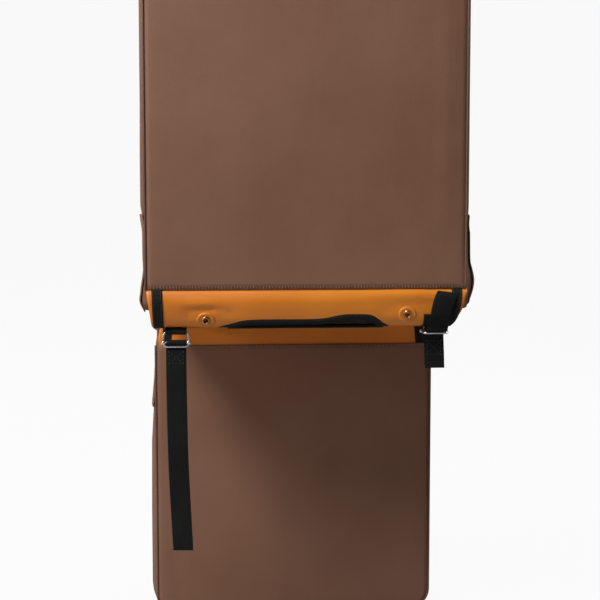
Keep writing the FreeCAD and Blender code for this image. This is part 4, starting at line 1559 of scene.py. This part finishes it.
snap = {
    "radius": 0.008,
    "profile": [(0.0001, 0.0), (0.0076, 0.0), (0.0080, 0.0003), (0.0076, 0.0008), (0.0058, 0.0010),
                (0.0052, 0.0007), (0.0001, 0.0007)],
}


def buildSnaps(side, phase):
    box = ownBox(side, "bag_snaps")
    height = (box[0].z + box[1].z) / 2
    reach = box[1].x - snap["radius"]
    for word, place, gap, under, sign in (
        ("Bag", frontPlace, 0.0, 0.0, 1), ("Lid", flapPlace, lid["flapGap"], lid["thickness"], -1),
    ):
        parts = []
        for x in (-reach, reach):
            y = place + frontOut(x / shellHalf, height, phase) + gap - under
            parts.append(lathe(snap["profile"], (x, y, height), (0, sign, 0), 26))
        addPiece(f"{side}{word}Snaps", inBag(side, parts), eyeletMetal, "snap_metal",
                 f"{side}_{word.lower()}", f"{side}_{word.lower()}_snaps")


# ---- seams in the brown cloth

ticks = {"half": 0.147, "under": 0.0021}


def buildTicks(side, phase):
    # the ticks of thread below the back panel's seam
    height = seamHeight - ticks["under"]
    line = [(x, backPlace - backOut(x / shellHalf, height, phase) - 0.0001, height)
            for x in np.linspace(-ticks["half"], ticks["half"], 90)]
    stitched(f"{side}HemTicks", [(placed(side, line), (0, -1, 0))], brownThread, tickStitch,
             "tarpaulin_brown", f"{side}_bag")


for side, phase in {"near": 0.4, "far": 2.3}.items():
    buildShell(side, phase)
    buildPiping(side)
    buildMouth(side, phase)
    buildLid(side, phase)
    buildSnaps(side, phase)
    buildTicks(side, phase)
    buildHanger(side)
    for node in ("back_board", "bottom_board", "lid_board"):
        materials = frame["nodes"][f"{side}_{node}"].data.materials
        materials.clear()
        materials.append(boardPlastic)
    print(f"{side} bag made")
buildBridge()
buildBuckle("left", leftWire, leftBar, "left_buckle", "left_bar")
buildBuckle("right", rightWire, rightBar, "root", "right_bar")
buildAnchor()
buildLeftTail()
buildRightTail()
buildRightStrap()
print("bridge, buckles and webbing made")


# ---- camera, floor and light

view = {"eye": (-0.090, -1.061, 0.098), "yaw": 4.825, "tilt": 4.082, "lens": 62.7}
camera = bpy.data.objects.new("camera", bpy.data.cameras.new("camera"))
camera.location = view["eye"]
camera.rotation_euler = (math.radians(90 - view["tilt"]), 0, math.radians(-view["yaw"]))
camera.data.lens = view["lens"]
camera.data.clip_start = 0.01
bpy.context.scene.collection.objects.link(camera)
bpy.context.scene.camera = camera

studio = {
    "floorDrop": 0.006,
    "width": 9.0,
    "front": -3.5,
    "back": 2.4,
    "curve": 1.6,
    "top": 5.0,
    "white": 0.36,
    "glow": 0.94,
    "fill": 0.12,
    # name, place, aimed at, size, power
    "lamps": [
        ("keyLight", (-1.15, -0.95, 1.65), (0, 0, 0.1), 0.7, 62),
        ("sideLight", (-1.3, -0.9, 0.25), (0, 0, 0.1), 0.5, 5),
        ("rightLight", (1.9, 0.35, 1.3), (0, 0, 0.05), 1.0, 26),
        ("backLight", (-0.7, 2.1, 1.7), (0, 0.1, 0.0), 1.0, 40),
    ],
}


def buildStudio():
    # a floor that sweeps up into a wall behind, white to the camera
    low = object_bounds()[0].z - studio["floorDrop"]
    half, curve = studio["width"] / 2, studio["curve"]
    line = [(studio["front"], low)]
    line += [(studio["back"] + curve * math.sin(a), low + curve * (1 - math.cos(a)))
             for a in np.linspace(0, math.pi / 2, 25)]
    line.append((studio["back"] + curve, studio["top"]))
    points = [(x, y, z) for y, z in line for x in (-half, half)]
    grey = (*[studio["white"]] * 3, 1)
    fixed = {"Base Color": grey, "Roughness": 0.9, "Specular IOR Level": 0.1}
    material = newMaterial("paleFloor", fixed)
    tree = material.node_tree
    make = Shade(tree).make
    surface = Shade(tree, tree.nodes["Principled BSDF"].outputs[0])
    glow = make("ShaderNodeEmission", None, {"Color": (1, 1, 1, 1), "Strength": 1.0})
    factor = make("ShaderNodeLightPath", out="Is Camera Ray") * studio["glow"]
    mixed = make("ShaderNodeMixShader", None, {0: factor, 1: surface, 2: glow})
    tree.links.new(mixed.socket, tree.nodes["Material Output"].inputs["Surface"])
    meshObject("floor", points, gridFaces(len(line), 2), material)

    world = bpy.data.worlds.new("studio")
    bpy.context.scene.world = world
    world.use_nodes = True
    tree = world.node_tree
    make = Shade(tree).make
    dim, white = (make("ShaderNodeBackground", None, {"Color": (1, 1, 1, 1), "Strength": strength})
                  for strength in (studio["fill"], 1.0))
    direct = make("ShaderNodeLightPath", out="Is Camera Ray")
    mixed = make("ShaderNodeMixShader", None, {0: direct, 1: dim, 2: white})
    tree.links.new(mixed.socket, tree.nodes["World Output"].inputs["Surface"])

    for name, place, target, size, power in studio["lamps"]:
        light = bpy.data.lights.new(name, "AREA")
        light.size, light.energy = size, power
        lamp = bpy.data.objects.new(name, light)
        lamp.location = place
        lamp.rotation_euler = (Vector(target) - Vector(place)).to_track_quat("-Z", "Y").to_euler()
        bpy.context.scene.collection.objects.link(lamp)


buildStudio()
bpy.context.scene.view_settings.view_transform = "Standard"
print("studio made")
